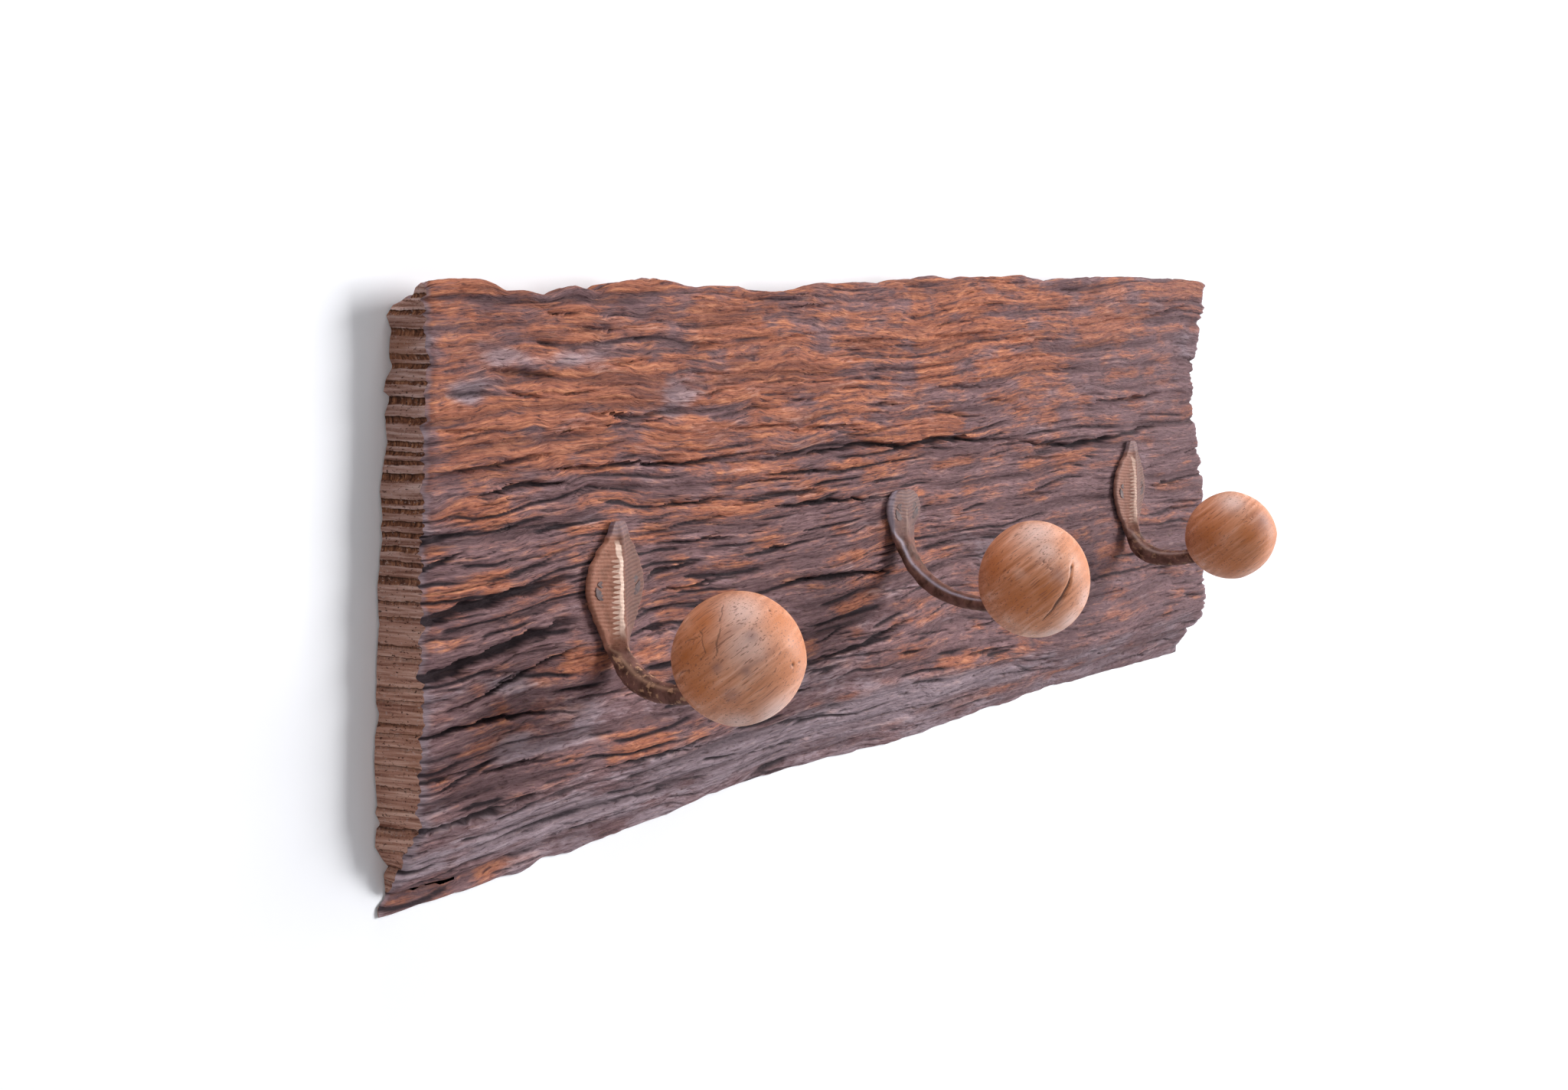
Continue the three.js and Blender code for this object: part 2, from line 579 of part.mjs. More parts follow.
function stemCurve(hook) {
  const { knob } = hook;
  const rise = THREE.MathUtils.degToRad(hook.entryAngle);
  const run = hookPoint(0, Math.cos(rise), Math.sin(rise));
  const below = hookPoint(0, Math.sin(rise), -Math.cos(rise));
  const radius = (knob.diameter + knob.length) / 4;
  const offset = hook.entryOffset * knob.diameter;
  const halfChord = Math.sqrt(radius ** 2 - offset ** 2);
  const centre = hookPoint(0, knob.reach, -knob.drop);
  const entry = centre.clone().addScaledVector(run, -halfChord).addScaledVector(below, offset);
  const rootOut = SEAT_GAP + hook.stemEnd * follow(hook.stem, 0, 2) / 2;
  const root = hookPoint(0, rootOut, -hook.rootDrop);
  const rootPull = hookPoint(0, rootOut, -hook.rootDrop - hook.rootSwing * knob.reach);
  const entryPull = entry.clone().addScaledVector(run, -hook.entrySwing * knob.reach);
  const curve = new THREE.CubicBezierCurve3(root, rootPull, entryPull, entry);
  const end = entry.clone().addScaledVector(run, STEM_IN_KNOB);
  return { curve, centre, end, run };
}

function plateRings(hook) {
  return hook.outline.map(([down, width, edge, ridge, lean]) => {
    const ring = plateRing(width * hook.width / 2, edge * hook.edge, ridge * hook.ridge);
    return ring.map(([across, out]) => (
      hookPoint(across + lean * hook.lean, out + SEAT_GAP, -down * hook.length)
    ));
  });
}

// The section at a share of the stem turns from the plate's flat form into a round bar
function stemRing(hook, curve, share) {
  const centre = curve.getPoint(share);
  const along = curve.getTangent(share);
  const outward = new THREE.Vector3(0, along.z, -along.y);
  const width = hook.stemEnd * follow(hook.stem, share, 1);
  const thickness = hook.stemEnd * follow(hook.stem, share, 2);
  const flat = plateRing(width / 2, Math.min(hook.edge, thickness / 2), thickness);
  const bar = barRing(width, thickness, flat.length);
  const roundness = THREE.MathUtils.smoothstep(share, ...PLATE_TO_BAR);
  return bar.map(([across, out], side) => {
    const x = THREE.MathUtils.lerp(flat[side][0], across, roundness);
    const depth = THREE.MathUtils.lerp(flat[side][1], out, roundness) - thickness / 2;
    return centre.clone().addScaledVector(outward, depth).add(new THREE.Vector3(x, 0, 0));
  });
}

// Plate and stem in one casting, lofted down the plate and along the stem
function hookCasting(hook) {
  const rings = plateRings(hook);
  const { curve, end, run } = stemCurve(hook);
  for (let step = 0; step <= STEM_STEPS; step += 1) {
    rings.push(stemRing(hook, curve, step / STEM_STEPS));
  }
  const tail = rings[rings.length - 1];
  const shift = end.clone().sub(curve.getPoint(1));
  rings.push(tail.map((point) => point.clone().add(shift)));
  const holes = screwPlaces(hook).map((place) => solid(hookScrewHole(place)));
  holes.push(solid(studBore(STUD_IN_HOOK, end, -1, run)));
  return geometryOf(holes.reduce((body, hole) => body.subtract(hole), solid(loft(rings))));
}

// A plain round cutter that runs up +Y from a little below its mouth
function boreGeometry(radius, depth, overshoot) {
  const grown = radius + BORE_CLEARANCE;
  return turned([[0, -overshoot], [grown, -overshoot], [grown, depth], [0, depth]], STUD_SIDES);
}

// Turns a geometry that runs up +Y so that it runs along the stem, forwards or backwards, from a point
function alongStem(geometry, from, sense, run) {
  const up = new THREE.Vector3(0, 1, 0);
  const turn = new THREE.Quaternion().setFromUnitVectors(up, run.clone().multiplyScalar(sense));
  geometry.applyQuaternion(turn);
  geometry.translate(from.x, from.y, from.z);
  return geometry;
}

// The bore for a stud, into the hook or into the knob from the end of the stem
function studBore(depth, from, sense, run) {
  return alongStem(boreGeometry(STUD_DIAMETER / 2, depth + SEAT_GAP, OVERSHOOT), from, sense, run);
}

function screwPlaces(hook) {
  const { margin, share, stand } = hook.screws;
  const seat = hook.edge + stand;
  return [-1, 1].map((side) => ({
    x: side * (hook.width / 2 - margin),
    y: -SEAT_GAP - seat,
    z: -share * hook.length,
    slotTurn: SLOT_TURN * side,
    size: hookScrewSize(seat),
  }));
}

// The screws reach as deep into the board as its thickness lets them
function hookScrewSize(seat) {
  return { head: SCREW_HEAD, shank: SCREW_SHANK, length: BOARD_THICKNESS - SCREW_COVER + SEAT_GAP + seat };
}

function hookScrewHole({ x, y, z, size }) {
  const hole = screwHole(size);
  hole.rotateX(Math.PI);
  hole.translate(x, y, z);
  return hole;
}

function hookScrew(name, place) {
  const screw = part(name, slottedScrew({ ...place.size, slotTurn: place.slotTurn }), SCREW_STEEL);
  screw.rotation.x = Math.PI;
  screw.position.set(place.x, place.y, place.z);
  return screw;
}

// A wooden knob, turned about a line square to the board, and bored for the stem and its stud
function knobGeometry(hook) {
  const { knob } = hook;
  const { centre, end, run } = stemCurve(hook);
  const profile = [];
  for (let ring = 0; ring <= KNOB_RINGS; ring += 1) {
    const angle = Math.PI * ring / KNOB_RINGS - Math.PI / 2;
    const onAxis = ring === 0 || ring === KNOB_RINGS;
    profile.push([onAxis ? 0 : Math.cos(angle) * knob.diameter / 2, Math.sin(angle) * knob.length / 2]);
  }
  const ball = turned(profile, KNOB_SIDES);
  ball.translate(centre.x, centre.y, centre.z);
  const socket = alongStem(boreGeometry(hook.stemEnd / 2, SEAT_GAP, knob.diameter / 2), end, 1, run);
  const bore = studBore(STUD_IN_KNOB, end, 1, run);
  return geometryOf(solid(ball).subtract(solid(socket)).subtract(solid(bore)));
}

function studGeometry(hook) {
  const { end, run } = stemCurve(hook);
  const radius = STUD_DIAMETER / 2;
  const stud = turned([[0, -STUD_IN_HOOK], [radius - STUD_CHAMFER, -STUD_IN_HOOK],
    [radius, -STUD_IN_HOOK + STUD_CHAMFER], [radius, STUD_IN_KNOB - STUD_CHAMFER],
    [radius - STUD_CHAMFER, STUD_IN_KNOB], [0, STUD_IN_KNOB]], STUD_SIDES);
  return alongStem(stud, end, 1, run);
}

function hookOrigin(hook) {
  return new THREE.Vector3(hook.x, FACE_Y, FACE_TOP - hook.drop);
}

function hookAssembly(hook) {
  const group = new THREE.Group();
  group.position.copy(hookOrigin(hook));
  group.add(part(`hook_${hook.name}`, hookCasting(hook), PATINA_BRONZE));
  group.add(part(`knob_${hook.name}`, knobGeometry(hook), TURNED_WOOD));
  group.add(part(`knob_stud_${hook.name}`, studGeometry(hook), PLATED_STEEL));
  screwPlaces(hook).forEach((place, index) => {
    group.add(hookScrew(`hook_screw_${hook.name}_${index + 1}`, place));
  });
  return group;
}

// Hanger plates. Each is built round the middle of its place on the back of the board.

const HANGERS = [
  { name: 'left', x: -BOARD_LENGTH / 2 + HANGER_MARGIN },
  { name: 'right', x: BOARD_LENGTH / 2 - HANGER_MARGIN },
];
const HANGER_SCREW_SIZE = {
  head: HANGER_SCREW_HEAD,
  shank: HANGER_SCREW_SHANK,
  length: HANGER_SCREW_LENGTH,
};
const HANGER_RECESS = HANGER_SINK + HANGER_THICKNESS + SEAT_GAP;

function roundedRectangle(width, height, corner) {
  const [x, y] = [width / 2 - corner, height / 2 - corner];
  const shape = new THREE.Shape();
  shape.absarc(x, y, corner, 0, Math.PI / 2);
  shape.absarc(-x, y, corner, Math.PI / 2, Math.PI);
  shape.absarc(-x, -y, corner, Math.PI, Math.PI * 1.5);
  shape.absarc(x, -y, corner, Math.PI * 1.5, Math.PI * 2);
  return shape;
}

// A slot with round ends, between two centre heights
function slotOutline(width, low, high) {
  const shape = new THREE.Shape();
  shape.absarc(0, high, width / 2, 0, Math.PI);
  shape.absarc(0, low, width / 2, Math.PI, Math.PI * 2);
  return shape;
}

// Extrudes an outline that is seen from the front, from one depth behind the wall face to another
function sunkPrism(outline, from, to) {
  const extent = { depth: to - from, bevelEnabled: false, curveSegments: 8 };
  const geometry = new THREE.ExtrudeGeometry(outline, extent);
  geometry.rotateX(Math.PI / 2);
  geometry.translate(0, -from, 0);
  return geometry;
}

function hangerPlate() {
  const front = HANGER_SINK + HANGER_THICKNESS;
  const outline = roundedRectangle(HANGER_WIDTH, HANGER_HEIGHT, HANGER_CORNER);
  const plate = solid(sunkPrism(outline, HANGER_SINK, front));
  const eyeRadius = KEYHOLE_DIAMETER / 2;
  const eye = new THREE.CylinderGeometry(eyeRadius, eyeRadius, 2 * (front + OVERSHOOT), KEYHOLE_SIDES);
  eye.translate(0, 0, -KEYHOLE_DROP);
  const slotTop = KEYHOLE_SLOT_LENGTH - KEYHOLE_DROP;
  const slotShape = slotOutline(KEYHOLE_SLOT_WIDTH, -KEYHOLE_DROP, slotTop);
  const slot = sunkPrism(slotShape, -OVERSHOOT, front + OVERSHOOT);
  const holes = hangerScrewPlaces().map((z) => solid(hangerScrewHole(z)));
  return geometryOf([solid(eye), solid(slot), ...holes].reduce((body, hole) => body.subtract(hole), plate));
}

function hangerScrewPlaces() {
  const reach = HANGER_HEIGHT / 2 - HANGER_SCREW_MARGIN;
  return [reach, -reach];
}

function hangerScrewHole(z) {
  const hole = screwHole(HANGER_SCREW_SIZE);
  hole.translate(0, -HANGER_SINK, z);
  return hole;
}

// What the board loses for one hanger plate: its recess, the pocket for the wall screw and its screw holes
function hangerCutters() {
  const clearWidth = HANGER_WIDTH + 2 * BORE_CLEARANCE;
  const clearHeight = HANGER_HEIGHT + 2 * BORE_CLEARANCE;
  const recessOutline = roundedRectangle(clearWidth, clearHeight, HANGER_CORNER);
  const recess = sunkPrism(recessOutline, -OVERSHOOT, HANGER_RECESS);
  const pocketWidth = KEYHOLE_DIAMETER + 2 * POCKET_MARGIN;
  const pocketOutline = slotOutline(pocketWidth, -KEYHOLE_DROP, KEYHOLE_SLOT_LENGTH - KEYHOLE_DROP);
  const pocket = sunkPrism(pocketOutline, -OVERSHOOT, HANGER_RECESS + POCKET_DEPTH);
  return [recess, pocket, ...hangerScrewPlaces().map(hangerScrewHole)];
}

function hangerOrigin(hanger) {
  return new THREE.Vector3(hanger.x, 0, BACK_TOP - HANGER_DROP);
}

function hangerAssembly(hanger) {
  const group = new THREE.Group();
  group.position.copy(hangerOrigin(hanger));
  group.add(part(`hanger_plate_${hanger.name}`, hangerPlate(), PLATED_STEEL));
  hangerScrewPlaces().forEach((z, index) => {
    const screw = part(
      `hanger_screw_${hanger.name}_${index + 1}`,
      slottedScrew({ ...HANGER_SCREW_SIZE, slotTurn: SLOT_TURN * (1 + index) }),
      PLATED_STEEL,
    );
    screw.position.set(0, -HANGER_SINK, z);
    group.add(screw);
  });
  return group;
}

// The finished board: trimmed at its ends, cracked, grooved and drilled for what it carries
function boardGeometry() {
  const blank = solid(boardBlank()).intersect(solid(endTrim()));
  const wear = [...CRACKS.map(crackCutter), ...END_GROOVES.map(endGrooveCutter)];
  const hookHoles = HOOKS.flatMap((hook) => screwPlaces(hook).map((place) => {
    const origin = hookOrigin(hook);
    return hookScrewHole(place).translate(origin.x, origin.y, origin.z);
  }));
  const hangerHoles = HANGERS.flatMap((hanger) => hangerCutters().map((cutter) => {
    const origin = hangerOrigin(hanger);
    return cutter.translate(origin.x, origin.y, origin.z);
  }));
  const cutters = [...wear, ...hookHoles, ...hangerHoles].map(solid);
  return geometryOf(cutters.reduce((body, cutter) => body.subtract(cutter), blank));
}

const coatRack = new THREE.Group();
coatRack.add(part('board', boardGeometry(), WEATHERED_WOOD));
HOOKS.forEach((hook) => coatRack.add(hookAssembly(hook)));
HANGERS.forEach((hanger) => coatRack.add(hangerAssembly(hanger)));

export default coatRack;
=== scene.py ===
# %% [markdown]
# A rustic coat rack, dressed around its packed construction model.
# The real rack is a plank of old, split hardwood that hangs flat on a wall. Three cast hooks are screwed
# to its face, and a turned wooden knob sits at the end of each. The construction model gives every piece
# its size and place. This lesson gives the pieces their real surfaces: fissures and fibres in the plank,
# sawn end grain, ribs and hammer marks on the castings and checks in the knobs. The screws, studs and
# hanger plates keep their shapes and get metal finishes.

# %% Load the frame
import math

import bmesh
import bpy
import numpy as np
from mathutils import Matrix, Vector
from mathutils.geometry import delaunay_2d_cdt


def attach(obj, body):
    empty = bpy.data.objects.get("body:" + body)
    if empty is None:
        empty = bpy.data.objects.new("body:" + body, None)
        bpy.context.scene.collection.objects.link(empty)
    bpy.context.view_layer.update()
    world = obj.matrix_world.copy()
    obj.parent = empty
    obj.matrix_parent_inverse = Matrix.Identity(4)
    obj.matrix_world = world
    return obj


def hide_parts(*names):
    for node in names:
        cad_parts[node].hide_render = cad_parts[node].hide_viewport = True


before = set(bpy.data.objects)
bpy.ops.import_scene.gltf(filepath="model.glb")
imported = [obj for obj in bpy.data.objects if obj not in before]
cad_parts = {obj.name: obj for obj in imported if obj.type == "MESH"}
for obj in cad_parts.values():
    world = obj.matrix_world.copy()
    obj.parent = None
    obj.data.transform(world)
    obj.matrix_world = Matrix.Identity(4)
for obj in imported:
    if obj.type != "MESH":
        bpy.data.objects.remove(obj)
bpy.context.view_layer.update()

MM = 0.001

# %% [markdown]
# The camera stands to the left of the rack, a little above its top edge, and looks along it. Its place
# and turn were found by fitting the plank's corners. A short formula turns the yaw, dip and roll into the
# camera's three axes, which is easier to check than a chain of Euler angles.

# %% Camera
CAMERA_PLACE = Vector((-821.8, -487.7, 89.3)) * MM
CAMERA_YAW = math.radians(57.51)
CAMERA_DIP = math.radians(5.83)
CAMERA_ROLL = math.radians(-0.72)
CAMERA_LENS = 61.16
SENSOR_WIDTH = 36

gaze = Vector((
    math.sin(CAMERA_YAW) * math.cos(CAMERA_DIP),
    math.cos(CAMERA_YAW) * math.cos(CAMERA_DIP),
    -math.sin(CAMERA_DIP),
))
level = Vector((math.cos(CAMERA_YAW), -math.sin(CAMERA_YAW), 0))
upright = level.cross(gaze)
right = level * math.cos(CAMERA_ROLL) + upright * math.sin(CAMERA_ROLL)
up = upright * math.cos(CAMERA_ROLL) - level * math.sin(CAMERA_ROLL)

camera_data = bpy.data.cameras.new("camera")
camera_data.lens = CAMERA_LENS
camera_data.sensor_width = SENSOR_WIDTH
camera = bpy.data.objects.new("camera", camera_data)
camera.matrix_world = Matrix((right, up, -gaze)).transposed().to_4x4()
camera.location = CAMERA_PLACE
bpy.context.collection.objects.link(camera)
bpy.context.scene.camera = camera
bpy.context.scene.view_settings.view_transform = "Standard"
print("The camera looks along", [round(part, 3) for part in gaze])

# %% [markdown]
# Weathered wood needs irregular shapes that stay the same on each run. Smooth lattice noise does that: a
# table of random numbers with a fixed seed, blended between its corners. Whole arrays are worked out at
# once, so a plank with a hundred thousand points takes a second or two.

# %% Noise helpers
LATTICE = 256
LAYER_GAIN = 1.3


def noise(x, y, seed):
    """Smooth noise from -1 to 1, with about one bump in each unit square."""
    table = np.random.default_rng(seed).random((LATTICE, LATTICE)) * 2 - 1
    column, row = np.floor(x).astype(int), np.floor(y).astype(int)
    across, down = x - column, y - row
    across = across * across * (3 - 2 * across)
    down = down * down * (3 - 2 * down)

    def corner(i, j):
        return table[(column + i) % LATTICE, (row + j) % LATTICE]

    upper = corner(0, 0) * (1 - across) + corner(1, 0) * across
    lower = corner(0, 1) * (1 - across) + corner(1, 1) * across
    return upper * (1 - down) + lower * down


def layered(x, y, seed, layers=3):
    """Noise with finer and weaker layers added, scaled back to about -1 to 1."""
    total = sum(noise(x * 2**n, y * 2**n, seed + n) / 2**n for n in range(layers))
    return total / (2 - 2 ** (1 - layers)) * LAYER_GAIN


def fade(value, low, high):
    """0 below low, 1 above high and a smooth step between them."""
    share = np.clip((value - low) / (high - low), 0, 1)
    return share * share * (3 - 2 * share)


sample = noise(np.linspace(0, 90, 5000), np.linspace(3, 41, 5000), 1)
print("Noise runs from", round(float(sample.min()), 2), "to", round(float(sample.max()), 2))

# %% [markdown]
# The plank is described as a carpenter would measure it, in millimetres along from its left end and down
# from a line just above the back's top edge. Its section is a skewed block: the top slopes down towards
# the wall, and a wide bevel runs from a crease on the face to the bottom of the back. The top edge, the
# crease, the bottom edge and both ragged ends wander, so each is a short list of points.

# %% Plank edges
PLANK_LENGTH = 520
PLANK_THICKNESS = 17
DATUM = 82
TOP_SLOPE = 7

TOP_EDGE = [
    (-14, -5.4), (-2, -6), (6, -6.6), (20, -6.8), (29, -5.9), (35, -3.4), (56, -2.3), (67, -4.2), (78, -2.8),
    (84, -5.4), (108, -7), (114, -5.8), (126, -3.8), (146, -3.8), (170, -1.8), (187, -1.5), (201, -4),
    (247, -3.9), (280, -5.7), (297, -4.8), (352, -4.9), (371, -2.8), (423, -3.4), (456, -3.2), (502, -2.4),
    (514, -1.3), (534, 1),
]
CREASE = [
    (-14, 144.6), (14, 144.5), (42, 141.7), (72, 139.9), (138, 140.8), (174, 141.4), (213, 139.3),
    (296, 139.5), (391, 144.5), (464, 145.5), (534, 146),
]
BOTTOM_EDGE = [
    (-14, 170), (20, 170), (55, 169.6), (66, 167.8), (78, 168.6), (90, 167.4), (125, 166.4), (165, 163.4),
    (203, 163.1), (240, 164), (282, 165.2), (326, 164.2), (345, 163.2), (364, 163.3), (404, 162), (425, 163),
    (470, 163), (505, 163.5), (534, 164.2),
]
LEFT_END = [
    (-20, 0.5), (0, -0.6), (12, -0.2), (47, -2.6), (82, -5.2), (86, -4.4), (92, -5.8), (102, -6.4),
    (104, -5.4), (137, -8.2), (149, -7.2), (153, -9), (168, -10.4), (190, -9.6),
]
RIGHT_END = [
    (-20, 5), (0, 5), (4, 3), (8, 3.5), (10, 6), (14, 3), (18, 0.5), (24, 1), (30, -3.5), (34, -4.5),
    (39.5, -9.5), (43, -6), (48, -7.5), (55.6, -7), (60, -4), (67, -3), (72, 0), (84, 2.5), (129, 5),
    (139, 7), (146, 6), (152, 6), (160, 8), (190, 9),
]


def follow(points, place):
    """The second number of a list of pairs, blended between them by the first."""
    places, values = zip(*points)
    return np.interp(place, places, values)


print("The plank is", round(float(follow(BOTTOM_EDGE, 260) - follow(TOP_EDGE, 260))), "mm high in its middle")

# %% [markdown]
# The broad form of the face is the same as in the construction model: ropes of fibre with a furrow between
# each two. The grain swings up and down in a few long waves and climbs to the right below the middle of the
# left end. Each furrow opens and closes along its length in its own way, because the waves that open it
# start at another place in every furrow. The wood is pared almost flat where a plate lies on it.

# %% Ropes of fibre
ROPE_PITCH = 8.6
# Each wave of the grain has a height, a length along the plank, a slant down it and a start.
GRAIN_WAVES = [(2.2, 61, 37, 0), (1.1, 24, -19, 1), (0.5, 10.3, 13, 2)]
CLIMB_HEIGHT = 9
CLIMB_START, CLIMB_END = -20, 75
CLIMB_LEVEL, CLIMB_REACH = 95, 32
# Each wave that opens the furrows has a length and a shift from one furrow to the next.
FURROW_WAVES = [(31, 2.4), (53, 1.7)]
FURROW_DEPTH = 2.1
SWELL_DEPTH, SWELL_LENGTH, SWELL_SLANT = 0.45, 83, 23
# Each seat is the place along and down of a plate's middle, with its half width and half height.
PLATE_SEATS = [(80.5, 83.5, 14.6, 18), (253.5, 76, 10.5, 6.5), (441.5, 79.8, 14.6, 16.75)]
PARED_MARGIN, PARED_SHARE = 4, 0.15
PARED_EDGE = (0.9, 1.4)


def grain_swing(along, down):
    """How far the grain stands above its nominal place, in millimetres."""
    waves = sum(
        height * np.sin(along / length + down / slant + start)
        for height, length, slant, start in GRAIN_WAVES
    )
    nearness = np.exp(-(((down - CLIMB_LEVEL) / CLIMB_REACH) ** 2))
    return waves + CLIMB_HEIGHT * fade(along, CLIMB_START, CLIMB_END) * nearness


def uncut(along, down):
    """The share of the relief that is left, which is low under the plates."""
    share = np.ones_like(along)
    for x, z, half_width, half_height in PLATE_SEATS:
        across = (along - x) / (half_width + PARED_MARGIN)
        below = (down - z) / (half_height + PARED_MARGIN)
        share = np.minimum(share, fade(np.hypot(across, below), *PARED_EDGE))
    return PARED_SHARE + (1 - PARED_SHARE) * share


def ropes(along, down, grain):
    """Depth of the broad form in millimetres, and how open the nearest furrow is along its middle line."""
    place = grain / ROPE_PITCH
    furrow = np.round(place)
    nearness = 1 - 2 * np.abs(place - furrow)
    waves = sum(np.sin(along / length + shift * furrow) for length, shift in FURROW_WAVES)
    opening = np.clip(0.5 + 0.45 * waves, 0, 1)
    swell = SWELL_DEPTH * (1 + np.sin(along / SWELL_LENGTH + down / SWELL_SLANT))
    return swell + opening * FURROW_DEPTH * nearness**2, opening * nearness


middle_height = float(follow(BOTTOM_EDGE, PLANK_LENGTH / 2) - follow(TOP_EDGE, PLANK_LENGTH / 2))
print("There are", round(middle_height / ROPE_PITCH), "ropes of fibre, one every", ROPE_PITCH, "mm")

# %% [markdown]
# Old hardwood that has stood in the weather opens along its grain. The deepest fissures are listed one by
# one, because they give this plank its face: each has a width, a depth and a path of points along the
# board. Several hundred small random ones between them are scattered by a seeded generator.

# %% Fissures
FISSURES = [
    (4, 5, [(-45, 91), (12, 85), (40, 83), (65, 80)]),
    (4.5, 5, [(-50, 108), (20, 100), (45, 96), (68, 93)]),
    (2.6, 4.6, [(165, 52), (205, 53), (230, 52), (262, 55), (285, 53.5), (318, 56), (352, 57)]),
    (2.6, 4.6, [(345, 57), (370, 61), (398, 62.7), (440, 60.5), (485, 58.7)]),
    (3.3, 5, [(-45, 146), (22, 145.5), (57, 143)]),
    (3, 3.5, [(25, 19), (42, 20), (60, 22)]),
    (2, 3.5, [(1, 47), (28, 46), (54, 44)]),
    (1.8, 3.5, [(48, 49), (98, 50), (125, 52), (172, 50)]),
    (2.2, 3.2, [(70, 33), (100, 36), (129, 35)]),
    (2.2, 3.5, [(-35, 65.5), (2, 64.5), (18, 63)]),
    (2.2, 3.5, [(-30, 76), (4, 71), (17, 68)]),
    (1.8, 3.5, [(17, 54), (42, 52), (65, 54)]),
    (1.8, 3.5, [(-40, 119.5), (22, 118), (52, 119)]),
    (2, 3.5, [(172, 69), (210, 70), (245, 72)]),
    (2, 3.5, [(176, 95), (215, 96), (258, 99)]),
    (2, 3.5, [(192, 124), (230, 122), (264, 117)]),
    (2.4, 3.5, [(414, 46), (450, 47), (482, 45)]),
    (2.2, 3, [(452, 15), (480, 12), (512, 7)]),
    (2.5, 2.5, [(97, 86), (106, 84), (114, 83)]),
    (1.6, 2.5, [(1, 35), (15, 35.5), (29, 35)]),
    (2, 2.5, [(33, 25), (52, 28)]),
    (2, 2.5, [(48, 11), (60, 13)]),
    (2, 2.5, [(52, 3), (70, 4)]),
    (1.4, 2.2, [(52, 38), (78, 38)]),
    (1.5, 2.2, [(44, 66), (65, 66)]),
    (1.4, 3, [(2, 113), (25, 110), (45, 105), (70, 101)]),
    (1.6, 2.5, [(-30, 131), (18, 131)]),
    (1.8, 2.5, [(62, 141), (90, 142), (126, 143), (160, 143)]),
    (1.6, 2.5, [(92, 101), (116, 101)]),
    (3, 2.5, [(126, 15), (143, 15)]),
    (1.8, 2.2, [(89, 12), (118, 12)]),
    (1.6, 2.2, [(82, 20), (109, 18)]),
    (1.6, 2.2, [(124, 23), (149, 25)]),
    (1.8, 2.5, [(101, 64), (148, 64)]),
    (1.6, 2.2, [(102, 75), (149, 77)]),
    (1.8, 2.5, [(165, 58), (218, 60)]),
    (1.8, 2.5, [(182, 45), (234, 45)]),
    (1.6, 2.2, [(178, 35), (205, 35)]),
    (1.6, 2.2, [(218, 19), (237, 19)]),
    (1.6, 2.2, [(232, 27), (252, 26)]),
    (2.2, 2.5, [(274, 35), (338, 36)]),
    (1.8, 2.5, [(278, 43), (318, 47)]),
    (1.6, 2.2, [(196, 118), (226, 114)]),
    (1.6, 2.2, [(253, 129), (276, 129)]),
    (1.6, 2.2, [(358, 20), (382, 20)]),
    (1.6, 2.2, [(384, 32), (405, 32)]),
    (2.2, 2.5, [(465, 84), (505, 84)]),
    (1.6, 2.2, [(90, 95), (102, 95)]),
    (1.8, 2.5, [(102, 84), (129, 83)]),
    (1.6, 2.2, [(165, 83), (185, 83)]),
    (1.8, 2.2, [(312, 41), (345, 42)]),
    (1.6, 2.2, [(232, 39), (256, 39)]),
    (1.6, 2.2, [(178, 133), (200, 133)]),
    (1.4, 2, [(272, 77.5), (282, 77.5)]),
    (1.6, 2.2, [(478, 41), (505, 41)]),
]
SMALL_FISSURES = 420
SMALL_SEED = 11
FISSURE_REACH = 3
FISSURE_TIP = 0.3


def small_fissures():
    """Short random fissures, longer and wider ones being rarer."""
    draw = np.random.default_rng(SMALL_SEED)
    found = []
    for _ in range(SMALL_FISSURES):
        size = draw.random() ** 2
        start = draw.uniform(-5, PLANK_LENGTH)
        down = draw.uniform(-4, 166)
        length = 8 + 46 * size
        tilt = draw.uniform(-0.05, 0.05) * length
        found.append((0.7 + 0.9 * size, 0.7 + 1.5 * size, [(start, down), (start + length, down + tilt)]))
    return found


def cut_fissure(fissure, number, along, down, relief, crack):
    """Deepens the relief and darkens the crack mask where one fissure runs."""
    width, depth, path = fissure
    start, end = path[0][0], path[-1][0]
    centre = follow(path, along)
    near = (along > start) & (along < end) & (np.abs(down - centre) < width + FISSURE_REACH)
    if not near.any():
        return
    place = along[near]
    row = np.full_like(place, number)
    share = (place - start) / (end - start)
    taper = np.sin(math.pi * np.clip(share, 0, 1)) ** 0.6
    fullness = FISSURE_TIP + (1 - FISSURE_TIP) * taper
    wander = 0.5 * noise(place / 7, row, 21) + 0.3 * noise(place / 2.3, row, 22)
    half = width / 2 * fullness * (1 + 0.45 * noise(place / 5, row, 23))
    across = np.abs(down[near] - centre[near] - wander * min(1, width / 2)) / np.maximum(half, 0.2)
    shape = np.clip(1 - across**1.7, 0, 1) ** 0.75
    relief[near] = np.maximum(relief[near], depth * fullness * shape)
    darkness = fade(1.15 - across, 0, 0.75) * min(1, 0.35 + depth / 5) * taper**0.5
    crack[near] = np.maximum(crack[near], darkness)


print(len(FISSURES), "named fissures and", SMALL_FISSURES, "small ones")

# %% [markdown]
# On the broad ropes lie three sets of ever finer slivers, with spindle-shaped crevices between them that
# follow the grain. A crevice opens where noise along its own line is high. Whole regions of the plank are
# more open than others: the lower left is the most broken, and the bevel and the right end are calmer.

# %% Crevices
# Each set of crevices has a pitch, a depth, a length, how rare they are, how wide and how dark.
CREVICES = [
    (4.7, 1.35, 24, 0.1, 0.2, 1.0),
    (2.6, 0.8, 14, 0.12, 0.24, 0.8),
    (1.5, 0.35, 8, 0.1, 0.3, 0.5),
]
BEVEL_CALM = (148, 156)
RIGHT_CALM = (280, 380)


